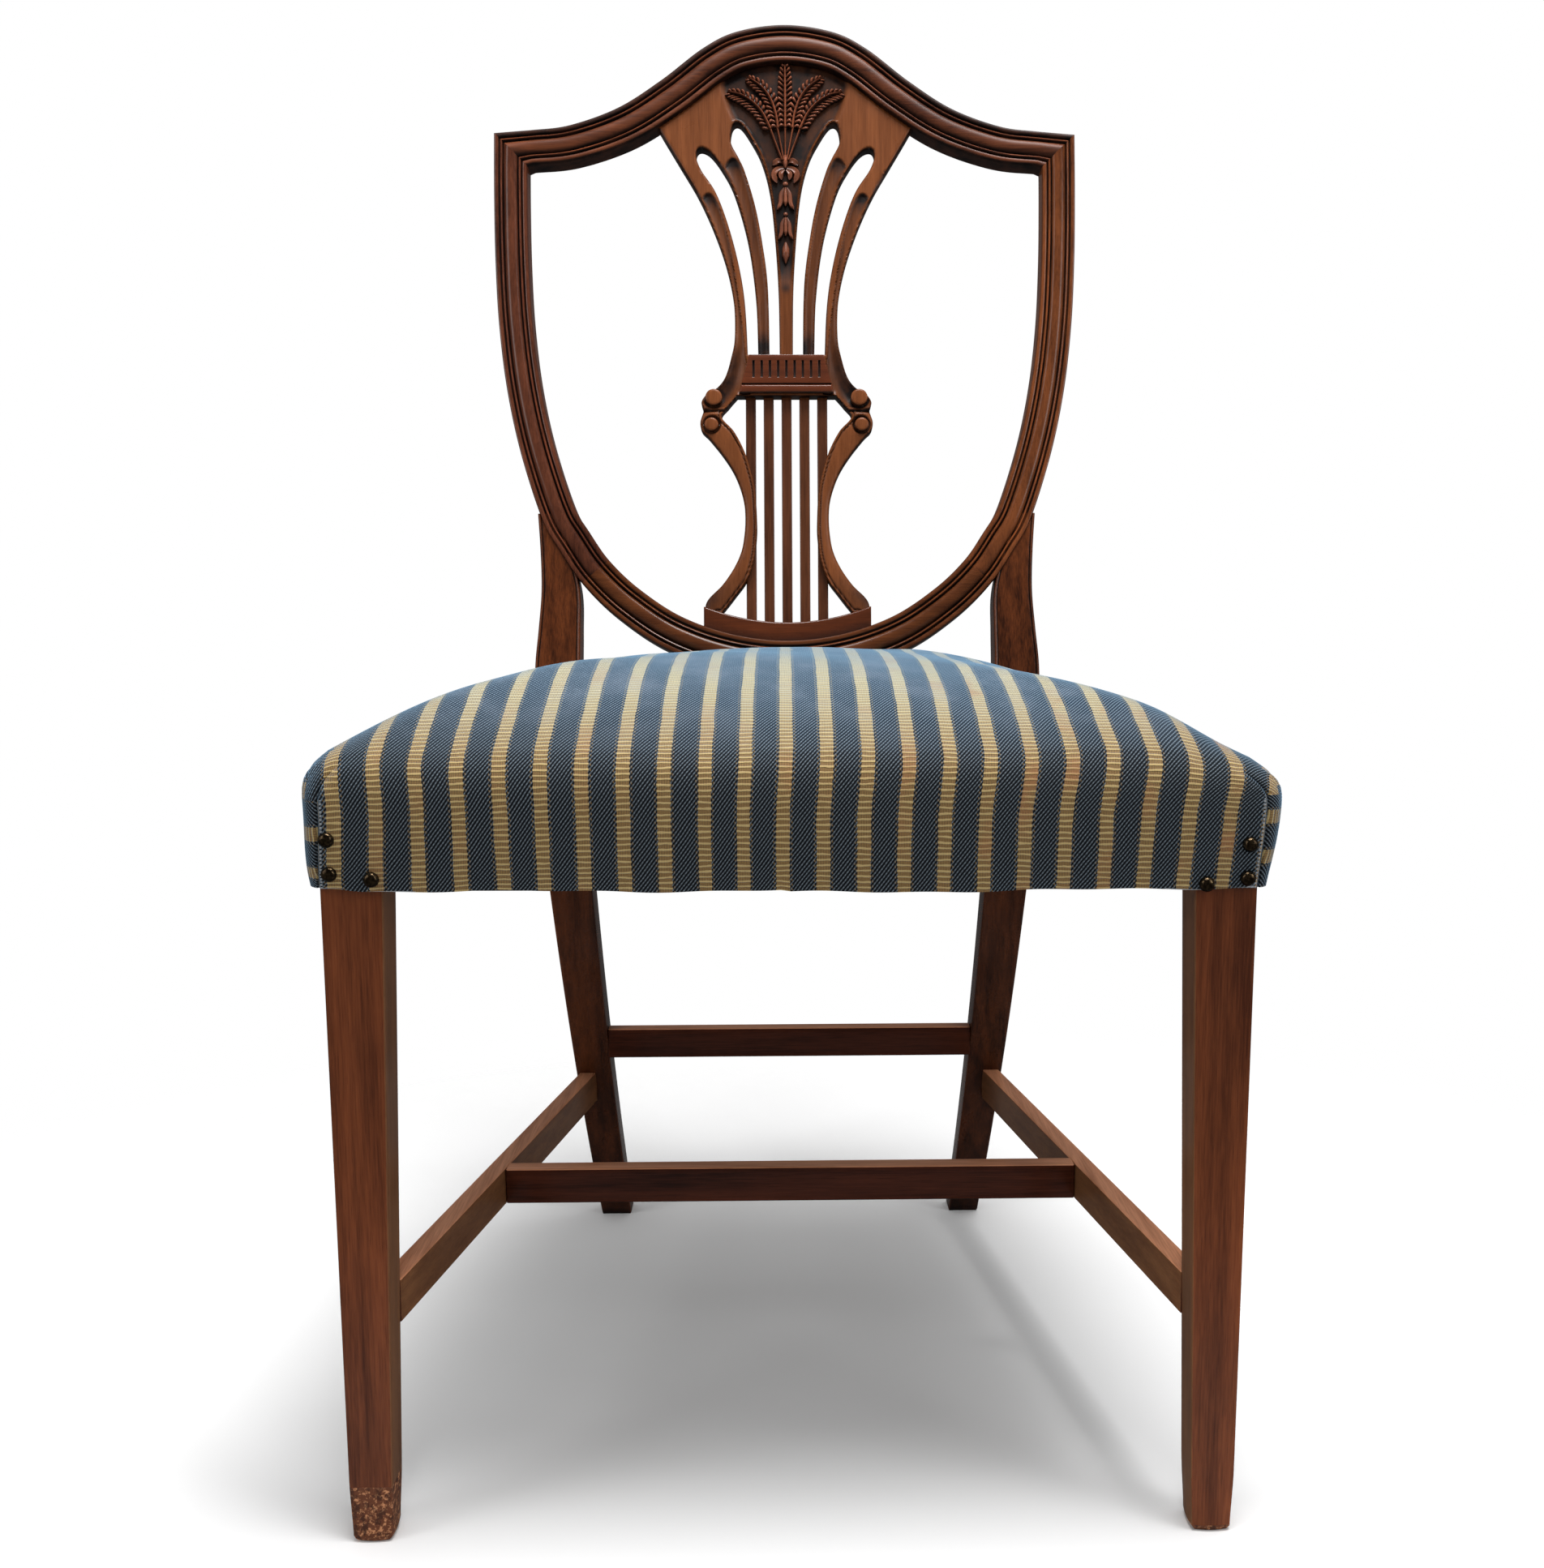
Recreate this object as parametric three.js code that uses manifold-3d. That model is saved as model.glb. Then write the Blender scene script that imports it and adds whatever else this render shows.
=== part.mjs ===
// A mahogany shield back dining chair with an upholstered seat.
// Millimetres, +Z up, the sitter faces -Y and +X is on the right of someone looking at the front.
import * as THREE from "three";
import { mergeVertices } from "three/addons/utils/BufferGeometryUtils.js";
import Module from "manifold-3d";

const wasm = await Module();
wasm.setup();

// Fits that the whole chair shares.
const fit = 0.3;
const overrun = 8;

// Front legs: square heads in the seat frame, tapered on their inner and back faces below it.
const frontHalf = 250;
const frontLeg = { headWidth: 33.2, headDepth: 28.5, footWidth: 23.4, footDepth: 22.3 };

// Seat frame.
const seatUnder = 376;
const railHeight = 60;
const railThickness = 22;
const railSetback = 1;
const railTop = seatUnder + railHeight;
const railTenon = { thickness: 9, height: 40, long: 20, middle: 16, short: 10 };

// Rear legs: raked and splayed below the seat, carried up as the posts and sides of the shield.
const rearFace = 395;
const rearRecess = 2.5;
const rearRake = 62.5;
const rakePower = 2.35;
const rearSeatHalf = 199;
const rearFootHalf = 162.8;
const rearLeg = { seatWidth: 36.5, footWidth: 25, seatDepth: 30, footDepth: 22 };
const uprightTop = 157;
const uprightTopDepth = 17;

// Seat padding and its cover.
const webbing = { width: 50, thickness: 1.2, alongCount: 4, crossCount: 3, alongShare: 0.221, crossShare: 0.22 };
const hessianThickness = 1;
const hessianInset = 6;
const cover = {
  thickness: 3, hemDrop: 1.5, hemOut: 3.4, bulgeOut: 8, bulgeDrop: 8, shoulderRise: 9.5, crownRise: 58,
  frontBow: 5, cornerTight: 0.6, cornerSoft: 18, legGap: 0.6, centreY: 225, roundness: 3, slump: 4,
};
const hemLevel = seatUnder - cover.hemDrop;
const bulgeLevel = railTop - cover.bulgeDrop;
const shoulderLevel = railTop + cover.shoulderRise;
const crownLevel = railTop + cover.crownRise;
const stuffingGap = 0.5;
const bottomCloth = { thickness: 0.8, inset: 3 };
const nail = {
  headRadius: 4.2, headHeight: 2.8, sink: 1, shankRadius: 0.9, length: 14, sides: 10,
  edge: 7, inner: 29, low: 6, side: 8, step: 19,
};
const nailPlaces = [
  { fromSide: nail.edge, height: hemLevel + nail.side + nail.step },
  { fromSide: nail.edge, height: hemLevel + nail.side },
  { fromSide: nail.inner, height: hemLevel + nail.low },
];

// The back leans in its own plane, which starts here.
const leanRise = 4;
const leanStart = railTop + leanRise;
const lean = THREE.MathUtils.degToRad(9);

// Shield: an outline round the outside, and a moulded frame of this width and thickness inside it.
const shieldHalf = 230;
const shieldFootShare = 0.5;
const shieldFoot = shieldFootShare * (crownLevel - leanStart);
const shieldCorner = 458.5;
const crestRise = 87;
const mouldingSide = 26.5;
const mouldingCentre = 29.5;
const shieldThickness = 20;
const mouldingRelief = 5;
const jointTenon = { thickness: 7, width: 13, length: 13, root: 4 };
const ringStep = 15;

// Stretchers.
const sideStretcher = { frontInset: 21, rearInset: 8.8, frontTop: 146, rearTop: 140, thickness: 13, height: 25 };
const crossStretcher = { placeShare: 0.4525, top: 143, thickness: 13.5, height: 24 };
const rearStretcher = { inset: 7.6, top: 178, thickness: 13, height: 24 };
const stretcherTenon = { thickness: 7, height: 15, length: 13, short: 8 };

// Corner blocks and the screws that hold them.
const block = { side: 62, height: 34, screwOffset: 37, headSeat: 13 };
const screw = { headRadius: 4, headHeight: 2.4, shankRadius: 2, length: 30, counterbore: 30 };

// Splat: one pierced board, with a fluted tablet on it and five strings below.
const splat = { front: 5, thickness: 12, headHalf: 97, tongue: 6, tongueThickness: 6 };
const splatTop = shieldCorner + crestRise;
const splatSeat = shieldFoot + mouldingCentre;
const shoe = { half: 66, rise: 14.5, endRise: 27.2, front: 3, thickness: 16 };
const shoeTop = splatSeat + shoe.rise;
const shoeEndTop = splatSeat + shoe.endRise;
const upSplat = (share) => THREE.MathUtils.lerp(shoeEndTop, splatTop, share);
const tablet = { front: 3, thickness: 5, top: upSplat(0.4316), foot: upSplat(0.3655), topHalf: 29.4, footHalf: 37.5 };
const flute = { count: 9, width: 2, depth: 1.4, footShare: 0.41, topShare: 0.85, pitch: 6.5 };
const strings = { spacing: 14.2, width: 8, housed: 4.5, seat: 9, front: 11, thickness: 6 };
const carving = { depth: 4.2, earLength: 50, earWidth: 9.5, fanCentre: upSplat(0.7975), fanInner: 12, sides: 8 };

// Finishes.
const finishes = {
  mahogany: new THREE.MeshStandardMaterial({ color: 0x6b3119, roughness: 0.32 }),
  darkMahogany: new THREE.MeshStandardMaterial({ color: 0x4a2114, roughness: 0.3 }),
  beech: new THREE.MeshStandardMaterial({ color: 0xb08a5c, roughness: 0.7 }),
  steel: new THREE.MeshStandardMaterial({ color: 0x8a8a88, roughness: 0.4, metalness: 1 }),
  brass: new THREE.MeshStandardMaterial({ color: 0x5a4326, roughness: 0.45, metalness: 1 }),
  jute: new THREE.MeshStandardMaterial({ color: 0x9c7f52, roughness: 0.95 }),
  hair: new THREE.MeshStandardMaterial({ color: 0x3c332b, roughness: 1 }),
  stripe: new THREE.MeshStandardMaterial({ color: 0x6d8db3, roughness: 0.9 }),
  blackCloth: new THREE.MeshStandardMaterial({ color: 0x1b1b1c, roughness: 0.95 }),
};

// A closed surface as a solid that can be joined and cut, moved first by a matrix.
function solidOf(geometry, matrix = new THREE.Matrix4()) {
  const moved = geometry.clone().applyMatrix4(matrix);
  moved.deleteAttribute("normal");
  moved.deleteAttribute("uv");
  const merged = mergeVertices(moved);
  return new wasm.Manifold(
    new wasm.Mesh({
      numProp: 3,
      vertProperties: merged.attributes.position.array,
      triVerts: new Uint32Array(merged.index.array),
    }),
  );
}

// A solid's surface, back in a frame of its own.
function surfaceOf(solid, frame) {
  const mesh = solid.getMesh();
  const geometry = new THREE.BufferGeometry();
  geometry.setAttribute("position", new THREE.BufferAttribute(new Float32Array(mesh.vertProperties), 3));
  geometry.setIndex(new THREE.BufferAttribute(mesh.triVerts, 1));
  const own = geometry.toNonIndexed().applyMatrix4(frame.clone().invert());
  own.computeVertexNormals();
  return own;
}

const joined = (solids) => solids.reduce((whole, piece) => whole.add(piece));
const cutBy = (solid, cutters) => cutters.reduce((left, cutter) => left.subtract(cutter), solid);

// A closed body through rings of points. The end caps are cut into triangles like the section, or without one
// they turn round a middle point.
function loft(rings, section) {
  const count = rings[0].length;
  const points = rings.flat();
  const index = [];
  for (let i = 0; i + 1 < rings.length; i += 1) {
    for (let j = 0; j < count; j += 1) {
      const a = i * count + j;
      const b = i * count + ((j + 1) % count);
      index.push(a, b, b + count, a, b + count, a + count);
    }
  }
  const last = (rings.length - 1) * count;
  if (section) {
    const contourTurn = Math.sign(THREE.ShapeUtils.area(section));
    for (const [a, b, c] of THREE.ShapeUtils.triangulateShape(section, [])) {
      const turn = Math.sign(THREE.ShapeUtils.area([section[a], section[b], section[c]]));
      const [p, q] = turn === contourTurn ? [b, c] : [c, b];
      index.push(last + a, last + p, last + q, a, q, p);
    }
  } else {
    points.push(middleOf(rings[0]), middleOf(rings[rings.length - 1]));
    for (let j = 0; j < count; j += 1) {
      const next = (j + 1) % count;
      index.push(next, j, points.length - 2, last + j, last + next, points.length - 1);
    }
  }
  const geometry = new THREE.BufferGeometry().setFromPoints(points);
  geometry.setIndex(signedVolume(points, index) < 0 ? index.reverse() : index);
  return geometry;
}

const middleOf = (ring) => ring.reduce((sum, p) => sum.add(p), new THREE.Vector3()).divideScalar(ring.length);

function signedVolume(points, index) {
  let volume = 0;
  for (let i = 0; i < index.length; i += 3) {
    volume += points[index[i]].dot(points[index[i + 1]].clone().cross(points[index[i + 2]]));
  }
  return volume;
}

const square = [new THREE.Vector2(0, 0), new THREE.Vector2(1, 0), new THREE.Vector2(1, 1), new THREE.Vector2(0, 1)];

// A box from its two extreme corners.
function boxBetween(low, high) {
  const size = high.clone().sub(low);
  const middle = high.clone().add(low).multiplyScalar(0.5);
  return new THREE.BoxGeometry(size.x, size.y, size.z).translate(middle.x, middle.y, middle.z);
}

const point = (x, y, z) => new THREE.Vector3(x, y, z);
const mix = (a, b, share) => a + (b - a) * share;

// The frame of the leaning back: x across, y into the thickness, z up the lean.
const backFrame = new THREE.Matrix4()
  .makeTranslation(0, rearFace, leanStart)
  .multiply(new THREE.Matrix4().makeRotationX(-lean));
const inBack = (x, depth, up) => point(x, depth, up).applyMatrix4(backFrame);

// Legs.

const frontLegAt = (z) => {
  const share = Math.min(z / seatUnder, 1);
  return {
    width: mix(frontLeg.footWidth, frontLeg.headWidth, share),
    depth: mix(frontLeg.footDepth, frontLeg.headDepth, share),
  };
};

// Grown for its clearance, and widened sideways where it only serves to cut a rail's shoulder.
function frontLegBody(side, grow = 0, widen = 0) {
  const rings = [0, seatUnder, railTop].map((z, place) => {
    const { width, depth } = frontLegAt(z);
    const level = z + [-grow, 0, grow][place];
    const outer = side * (frontHalf + grow + widen);
    const inner = side * (frontHalf - width - grow - widen);
    return [
      point(inner, -grow, level), point(outer, -grow, level),
      point(outer, depth + grow, level), point(inner, depth + grow, level),
    ];
  });
  return loft(rings, square);
}

const rearLegAt = (z) => {
  const share = Math.min(z / seatUnder, 1);
  return {
    outer: mix(rearFootHalf, rearSeatHalf, share),
    width: mix(rearLeg.footWidth, rearLeg.seatWidth, share),
    front: rearFace + rearRecess + rearRake * (1 - share) ** rakePower,
    depth: mix(rearLeg.footDepth, rearLeg.seatDepth, share),
  };
};

// The post above the seat ends on the side of the shield. Shares of its height, and of its width at the seat:
// how far its outer face stands off a straight line, and how wide it is.
const uprightShares = [
  [0.08, 0.005, 0.99],
  [0.25, 0.008, 0.96],
  [0.42, -0.05, 0.9],
  [0.61, -0.1, 0.83],
  [0.8, -0.07, 0.66],
  [1, 0, 0.38],
];
const uprightJoinShare = 0.853;
const rearLegLevelShares = [0, 0.1, 0.2, 0.3, 0.4, 0.52, 0.66, 0.82, 1, 1.15];

function rearPost(side, grow = 0, widen = 0) {
  const rings = rearLegLevelShares.map((share) => {
    const z = share * seatUnder;
    const at = rearLegAt(z);
    const outer = side * (at.outer + grow + widen);
    const inner = side * (at.outer - at.width - grow - widen);
    const level = share === 0 ? z - grow : z;
    return [
      point(inner, at.front - grow, level), point(outer, at.front - grow, level),
      point(outer, at.front + at.depth + grow, level), point(inner, at.front + at.depth + grow, level),
    ];
  });
  for (const [upShare, bowShare, widthShare] of uprightShares) {
    const up = upShare * uprightTop;
    const outer = mix(rearSeatHalf, uprightJoinShare * shieldHalf, upShare) + bowShare * rearLeg.seatWidth;
    const inner = outer - widthShare * rearLeg.seatWidth;
    const near = rearRecess - grow;
    const far = mix(rearLeg.seatDepth, uprightTopDepth, upShare) + rearRecess + grow;
    const spare = grow + widen;
    rings.push([
      inBack(side * (inner - spare), near, up), inBack(side * (outer + spare), near, up),
      inBack(side * (outer + spare), far, up), inBack(side * (inner - spare), far, up),
    ]);
  }
  return loft(rings, square);
}

// The shield's outline, from one top corner round the foot to the other, and its moulded section.

const shieldShares = [
  [1, 1], [1, 0.885], [0.996, 0.767], [0.984, 0.648], [0.957, 0.528], [0.91, 0.41],
  [0.838, 0.29], [0.778, 0.233], [0.701, 0.173], [0.584, 0.112], [0.419, 0.053], [0.217, 0.014],
];
const crestShares = [
  [0, 1], [0.165, 0.937], [0.283, 0.782], [0.426, 0.489], [0.574, 0.236], [0.739, 0.075], [0.87, 0.029], [1, 0],
];
const sectionShares = [
  [0, 1], [0.1, 0.2], [0.2, 0.55], [0.32, 0.15], [0.5, 0], [0.68, 0.15], [0.8, 0.55], [0.9, 0.2], [1, 1],
];

const mirrored = (points) => points.map((p) => new THREE.Vector2(-p.x, p.y)).reverse();

const shieldRight = shieldShares.map(
  ([across, up]) => new THREE.Vector2(across * shieldHalf, mix(shieldFoot, shieldCorner, up)),
);
const shieldLine = new THREE.SplineCurve([
  ...shieldRight,
  new THREE.Vector2(0, shieldFoot),
  ...mirrored(shieldRight),
]);

const crestRight = crestShares.map(
  ([across, up]) => new THREE.Vector2(across * shieldHalf, shieldCorner + up * crestRise),
);
const crestLine = new THREE.SplineCurve([...mirrored(crestRight.slice(1)), ...crestRight]);

const mouldingWidth = (across) => mix(mouldingCentre, mouldingSide, (across / shieldHalf) ** 2);

const sectionPoints = [
  ...sectionShares.map(([across, depth]) => new THREE.Vector2(across, depth * mouldingRelief)),
  new THREE.Vector2(1, shieldThickness),
  new THREE.Vector2(0, shieldThickness),
];

// One ring of the moulding, square to the line at a share of its length, moved along it by a small shift.
function mouldingRing(line, share, shift = 0) {
  const at = line.getPointAt(share);
  const along = line.getTangentAt(share);
  const width = mouldingWidth(at.x);
  return sectionPoints.map((s) => {
    const reach = s.x * width;
    return point(at.x + along.y * reach + along.x * shift, s.y, at.y - along.x * reach + along.y * shift);
  });
}

// The mitre at a top corner, on the stile's side or on the crest's.
function mitreRing(side, towardsCrest) {
  const shift = (towardsCrest ? 0.5 : -0.5) * fit * Math.SQRT1_2;
  return sectionPoints.map((s) => {
    const reach = s.x * mouldingSide;
    return point(side * (shieldHalf - reach - shift), s.y, shieldCorner - reach + shift);
  });
}

// Shares of a line's length between two places on it, at about the ring step.
function ringShares(line, from, to) {
  const count = Math.round(((to - from) * line.getLength()) / ringStep);
  return Array.from({ length: count + 1 }, (_, i) => mix(from, to, i / count));
}

const jointShare = 0.334;
const mitreShare = (line) => (mouldingSide * 1.05) / line.getLength();

function stile(side) {
  const shares = ringShares(shieldLine, mitreShare(shieldLine), jointShare);
  const rings = shares.map((share) => mouldingRing(shieldLine, share, share === jointShare ? -fit / 2 : 0));
  const right = loft([mitreRing(1, false), ...rings], sectionPoints);
  return side > 0 ? solidOf(right) : solidOf(mirrorAcross(right));
}

// The same surface on the other side of the chair, still facing out.
function mirrorAcross(geometry) {
  const other = geometry.clone().scale(-1, 1, 1);
  other.setIndex(Array.from(other.index.array).reverse());
  return other;
}

function bottomRailBody() {
  const shares = ringShares(shieldLine, jointShare, 1 - jointShare);
  return loft(
    shares.map((share, i) => {
      const shift = i === 0 ? fit / 2 : i === shares.length - 1 ? -fit / 2 : 0;
      return mouldingRing(shieldLine, share, shift);
    }),
    sectionPoints,
  );
}

function crestBody() {
  const shares = ringShares(crestLine, mitreShare(crestLine), 1 - mitreShare(crestLine));
  const rings = shares.map((share) => mouldingRing(crestLine, share));
  return loft([mitreRing(-1, true), ...rings, mitreRing(1, true)], sectionPoints);
}

// The tenons that hold the crest on the stiles and the bottom rail between them, in the back's frame.
function crestTenon(side, grow = 0) {
  const middle = shieldHalf - mouldingSide / 2;
  const seat = shieldCorner - mouldingSide / 2;
  const deep = (shieldThickness - jointTenon.thickness) / 2;
  const half = jointTenon.width / 2 + grow;
  return boxBetween(
    point(-half, deep - grow, -jointTenon.length - jointTenon.root),
    point(half, deep + jointTenon.thickness + grow, jointTenon.length / 2 + grow),
  ).translate(side * middle, 0, seat);
}

function bottomRailTenon(side, grow = 0) {
  const at = shieldLine.getPointAt(jointShare);
  const along = shieldLine.getTangentAt(jointShare);
  const reach = mouldingWidth(at.x) / 2;
  const deep = (shieldThickness - jointTenon.thickness) / 2;
  const half = jointTenon.width / 2 + grow;
  const angle = Math.atan2(-along.y, -along.x);
  const right = boxBetween(
    point(-jointTenon.root, deep - grow, -half),
    point(jointTenon.length + grow, deep + jointTenon.thickness + grow, half),
  )
    .rotateY(-angle)
    .translate(at.x + along.y * reach, 0, at.y - along.x * reach);
  return side > 0 ? right : mirrorAcross(right);
}

// Straight rails with a tenon on each end.

// A frame whose x runs from one point to another and whose z is as upright as it can be.
function frameBetween(start, end) {
  const x = end.clone().sub(start).normalize();
  const y = point(0, 0, 1).cross(x).normalize();
  const z = x.clone().cross(y);
  return new THREE.Matrix4().makeBasis(x, y, z).setPosition(start);
}

function straightRail(start, end, thickness, height, tenons) {
  const frame = frameBetween(start, end);
  const length = start.distanceTo(end);
  const body = (grow, beyond) =>
    solidOf(
      boxBetween(
        point(-beyond, -thickness / 2 - grow, -height / 2 - grow),
        point(length + beyond, thickness / 2 + grow, height / 2 + grow),
      ),
      frame,
    );
  const tenonAt = (end, grow) => {
    const { long, thick, high } = tenons[end];
    const [from, to] = end === 0 ? [-long - grow, overrun] : [length - overrun, length + long + grow];
    return solidOf(
      boxBetween(point(from, -thick / 2 - grow, -high / 2 - grow), point(to, thick / 2 + grow, high / 2 + grow)),
      frame,
    );
  };
  return {
    frame,
    envelope: body(fit, 0),
    mortises: [tenonAt(0, fit), tenonAt(1, fit)],
    // Cut back to the pieces that carry its ends, then given its tenons.
    finish: (carriers) => joined([cutBy(body(0, overrun), carriers), tenonAt(0, 0), tenonAt(1, 0)]),
  };
}

const pairOf = (make) => ({ left: make(-1), right: make(1) });
const sides = { left: -1, right: 1 };

const grownFront = pairOf((side) => solidOf(frontLegBody(side, fit)));
const grownRear = pairOf((side) => solidOf(rearPost(side, fit)));
const frontShoulder = pairOf((side) => solidOf(frontLegBody(side, fit, railThickness)));
const rearShoulder = pairOf((side) => solidOf(rearPost(side, fit, railThickness)));

const railMiddle = seatUnder + railHeight / 2;
const frontRailY = railSetback + railThickness / 2;
const rearRailY = rearLegAt(seatUnder).front + rearLeg.seatDepth / 2;
const sideRailIn = railSetback + railThickness / 2;
const sideRailX = { front: frontHalf - sideRailIn, rear: rearSeatHalf - sideRailIn };
const rearLegInner = (z) => rearLegAt(z).outer - rearLegAt(z).width;

const seatTenon = (long) => ({ long, thick: railTenon.thickness, high: railTenon.height });
const stretcherEnd = (long) => ({ long, thick: stretcherTenon.thickness, high: stretcherTenon.height });

const frontRail = straightRail(
  point(-(frontHalf - frontLeg.headWidth), frontRailY, railMiddle),
  point(frontHalf - frontLeg.headWidth, frontRailY, railMiddle),
  railThickness,
  railHeight,
  [seatTenon(railTenon.long), seatTenon(railTenon.long)],
);
const rearRail = straightRail(
  point(-rearLegInner(seatUnder), rearRailY, railMiddle),
  point(rearLegInner(seatUnder), rearRailY, railMiddle),
  railThickness,
  railHeight,
  [seatTenon(railTenon.middle), seatTenon(railTenon.middle)],
);
const sideRails = pairOf((side) =>
  straightRail(
    point(side * sideRailX.front, frontLeg.headDepth, railMiddle),
    point(side * sideRailX.rear, rearLegAt(seatUnder).front, railMiddle),
    railThickness,
    railHeight,
    [seatTenon(railTenon.short), seatTenon(railTenon.middle)],
  ),
);

const sideStretcherMiddle = {
  front: sideStretcher.frontTop - sideStretcher.height / 2,
  rear: sideStretcher.rearTop - sideStretcher.height / 2,
};
const sideStretcherX = {
  front: frontHalf - sideStretcher.frontInset,
  rear: rearLegAt(sideStretcherMiddle.rear).outer - sideStretcher.rearInset,
};
const sideStretchers = pairOf((side) =>
  straightRail(
    point(side * sideStretcherX.front, frontLegAt(sideStretcherMiddle.front).depth, sideStretcherMiddle.front),
    point(side * sideStretcherX.rear, rearLegAt(sideStretcherMiddle.rear).front, sideStretcherMiddle.rear),
    sideStretcher.thickness,
    sideStretcher.height,
    [stretcherEnd(stretcherTenon.length), stretcherEnd(stretcherTenon.length)],
  ),
);

// Where the cross stretcher meets the inner faces of the side stretchers.
const sideStretcherRun = {
  start: frontLegAt(sideStretcherMiddle.front).depth,
  end: rearLegAt(sideStretcherMiddle.rear).front,
};
const crossY = mix(sideStretcherRun.start, sideStretcherRun.end, crossStretcher.placeShare);
const crossHalf =
  mix(sideStretcherX.front, sideStretcherX.rear, crossStretcher.placeShare) - sideStretcher.thickness / 2;
const crossMiddle = crossStretcher.top - crossStretcher.height / 2;
const cross = straightRail(
  point(-crossHalf, crossY, crossMiddle),
  point(crossHalf, crossY, crossMiddle),
  crossStretcher.thickness,
  crossStretcher.height,
  [stretcherEnd(stretcherTenon.short), stretcherEnd(stretcherTenon.short)],
);

const rearStretcherMiddle = rearStretcher.top - rearStretcher.height / 2;
const rearStretcherY = rearLegAt(rearStretcherMiddle).front + rearStretcher.inset;
const backStretcher = straightRail(
  point(-rearLegInner(rearStretcherMiddle), rearStretcherY, rearStretcherMiddle),
  point(rearLegInner(rearStretcherMiddle), rearStretcherY, rearStretcherMiddle),
  rearStretcher.thickness,
  rearStretcher.height,
  [stretcherEnd(stretcherTenon.length), stretcherEnd(stretcherTenon.length)],
);

// Corner blocks, glued and screwed inside the seat frame.

// The inner face of a side rail at a distance from the front, and how it turns.
const sideRailSlope = (sideRailX.rear - sideRailX.front) / (rearLegAt(seatUnder).front - frontLeg.headDepth);
const slanted = (size) => size * Math.hypot(1, sideRailSlope);
const sideRailInner = (y) =>
  sideRailX.front + sideRailSlope * (y - frontLeg.headDepth) - slanted(railThickness / 2);
const frontRailInner = frontRailY + railThickness / 2;
const rearRailInner = rearRailY - railThickness / 2;

const screwProfile = (grow) => [
  new THREE.Vector2(0, -screw.length - grow),
  new THREE.Vector2(screw.shankRadius + grow, -screw.length - grow),
  new THREE.Vector2(screw.shankRadius + grow, 0),
  new THREE.Vector2(screw.headRadius + grow, 0),
  new THREE.Vector2(screw.headRadius + grow, screw.headHeight),
  new THREE.Vector2(0, screw.headHeight),
];
const screwHole = [
  ...screwProfile(fit).slice(0, 2),
  new THREE.Vector2(screw.shankRadius + fit, -fit),
  new THREE.Vector2(screw.headRadius + fit, -fit),
  new THREE.Vector2(screw.headRadius + fit, screw.counterbore),
  new THREE.Vector2(0, screw.counterbore),
];
const screwSides = 10;

// One block, with the frames of its two screws: their y axis points out of the head.
function cornerBlock(side, atFront) {
  const towards = atFront ? 1 : -1;
  const railInner = atFront ? frontRailInner : rearRailInner;
  const cornerY = railInner + towards * fit;
  const farY = cornerY + towards * block.side;
  const inner = (y) => sideRailInner(y) - slanted(fit);
  const outline = new THREE.Shape([
    new THREE.Vector2(side * inner(cornerY), cornerY),
    new THREE.Vector2(side * (inner(cornerY) - block.side), cornerY),
    new THREE.Vector2(side * inner(farY), farY),
  ]);
  const low = railMiddle - block.height / 2;
  const prism = new THREE.ExtrudeGeometry(outline, { depth: block.height, bevelEnabled: false }).translate(0, 0, low);
  const intoRail = new THREE.Matrix4()
    .makeTranslation(side * (inner(cornerY) - block.screwOffset), cornerY + towards * block.headSeat, railMiddle)
    .multiply(new THREE.Matrix4().makeRotationZ(atFront ? 0 : Math.PI));
  const sideY = cornerY + towards * block.screwOffset;
  const turn = Math.atan(sideRailSlope) * side;
  const intoSide = new THREE.Matrix4()
    .makeTranslation(side * (inner(sideY) - block.headSeat), sideY, railMiddle)
    .multiply(new THREE.Matrix4().makeRotationZ((side * Math.PI) / 2 - turn));
  return { prism: solidOf(prism), screwFrames: [intoRail, intoSide] };
}

const blockPlaces = [
  { name: "front_left", side: -1, atFront: true },
  { name: "front_right", side: 1, atFront: true },
  { name: "rear_left", side: -1, atFront: false },
  { name: "rear_right", side: 1, atFront: false },
].map((place) => ({ ...place, ...cornerBlock(place.side, place.atFront) }));

const screwHoleSurface = new THREE.LatheGeometry(screwHole, screwSides);
const screwHolesOf = (places) =>
  places.flatMap((place) => place.screwFrames.map((frame) => solidOf(screwHoleSurface, frame)));

// The splat, in the frame of the back.

// Everything on one side of an edge, as a board thick enough to trim with.
function zoneBeyond(edge, farUp) {
  const first = edge[0];
  const last = edge[edge.length - 1];
  const outline = [...edge, new THREE.Vector2(last.x, farUp), new THREE.Vector2(first.x, farUp)];
  return boardOf(new THREE.Shape(outline), -overrun, shieldThickness + 2 * overrun);
}

// A flat outline drawn across and up the back, cut from a board of this front and thickness.
function boardOf(shape, front, thickness) {
  return new THREE.ExtrudeGeometry(shape, { depth: thickness, bevelEnabled: false })
    .rotateX(Math.PI / 2)
    .translate(0, front + thickness, 0);
}

// The inner edge of the moulding along part of a line, moved away from it by a gap.
function innerEdge(line, from, to, gap) {
  return ringShares(line, from, to).map((share) => {
    const at = line.getPointAt(share);
    const along = line.getTangentAt(share);
    const reach = mouldingWidth(at.x) + gap;
    return new THREE.Vector2(at.x + along.y * reach, at.y - along.x * reach);
  });
}

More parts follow.
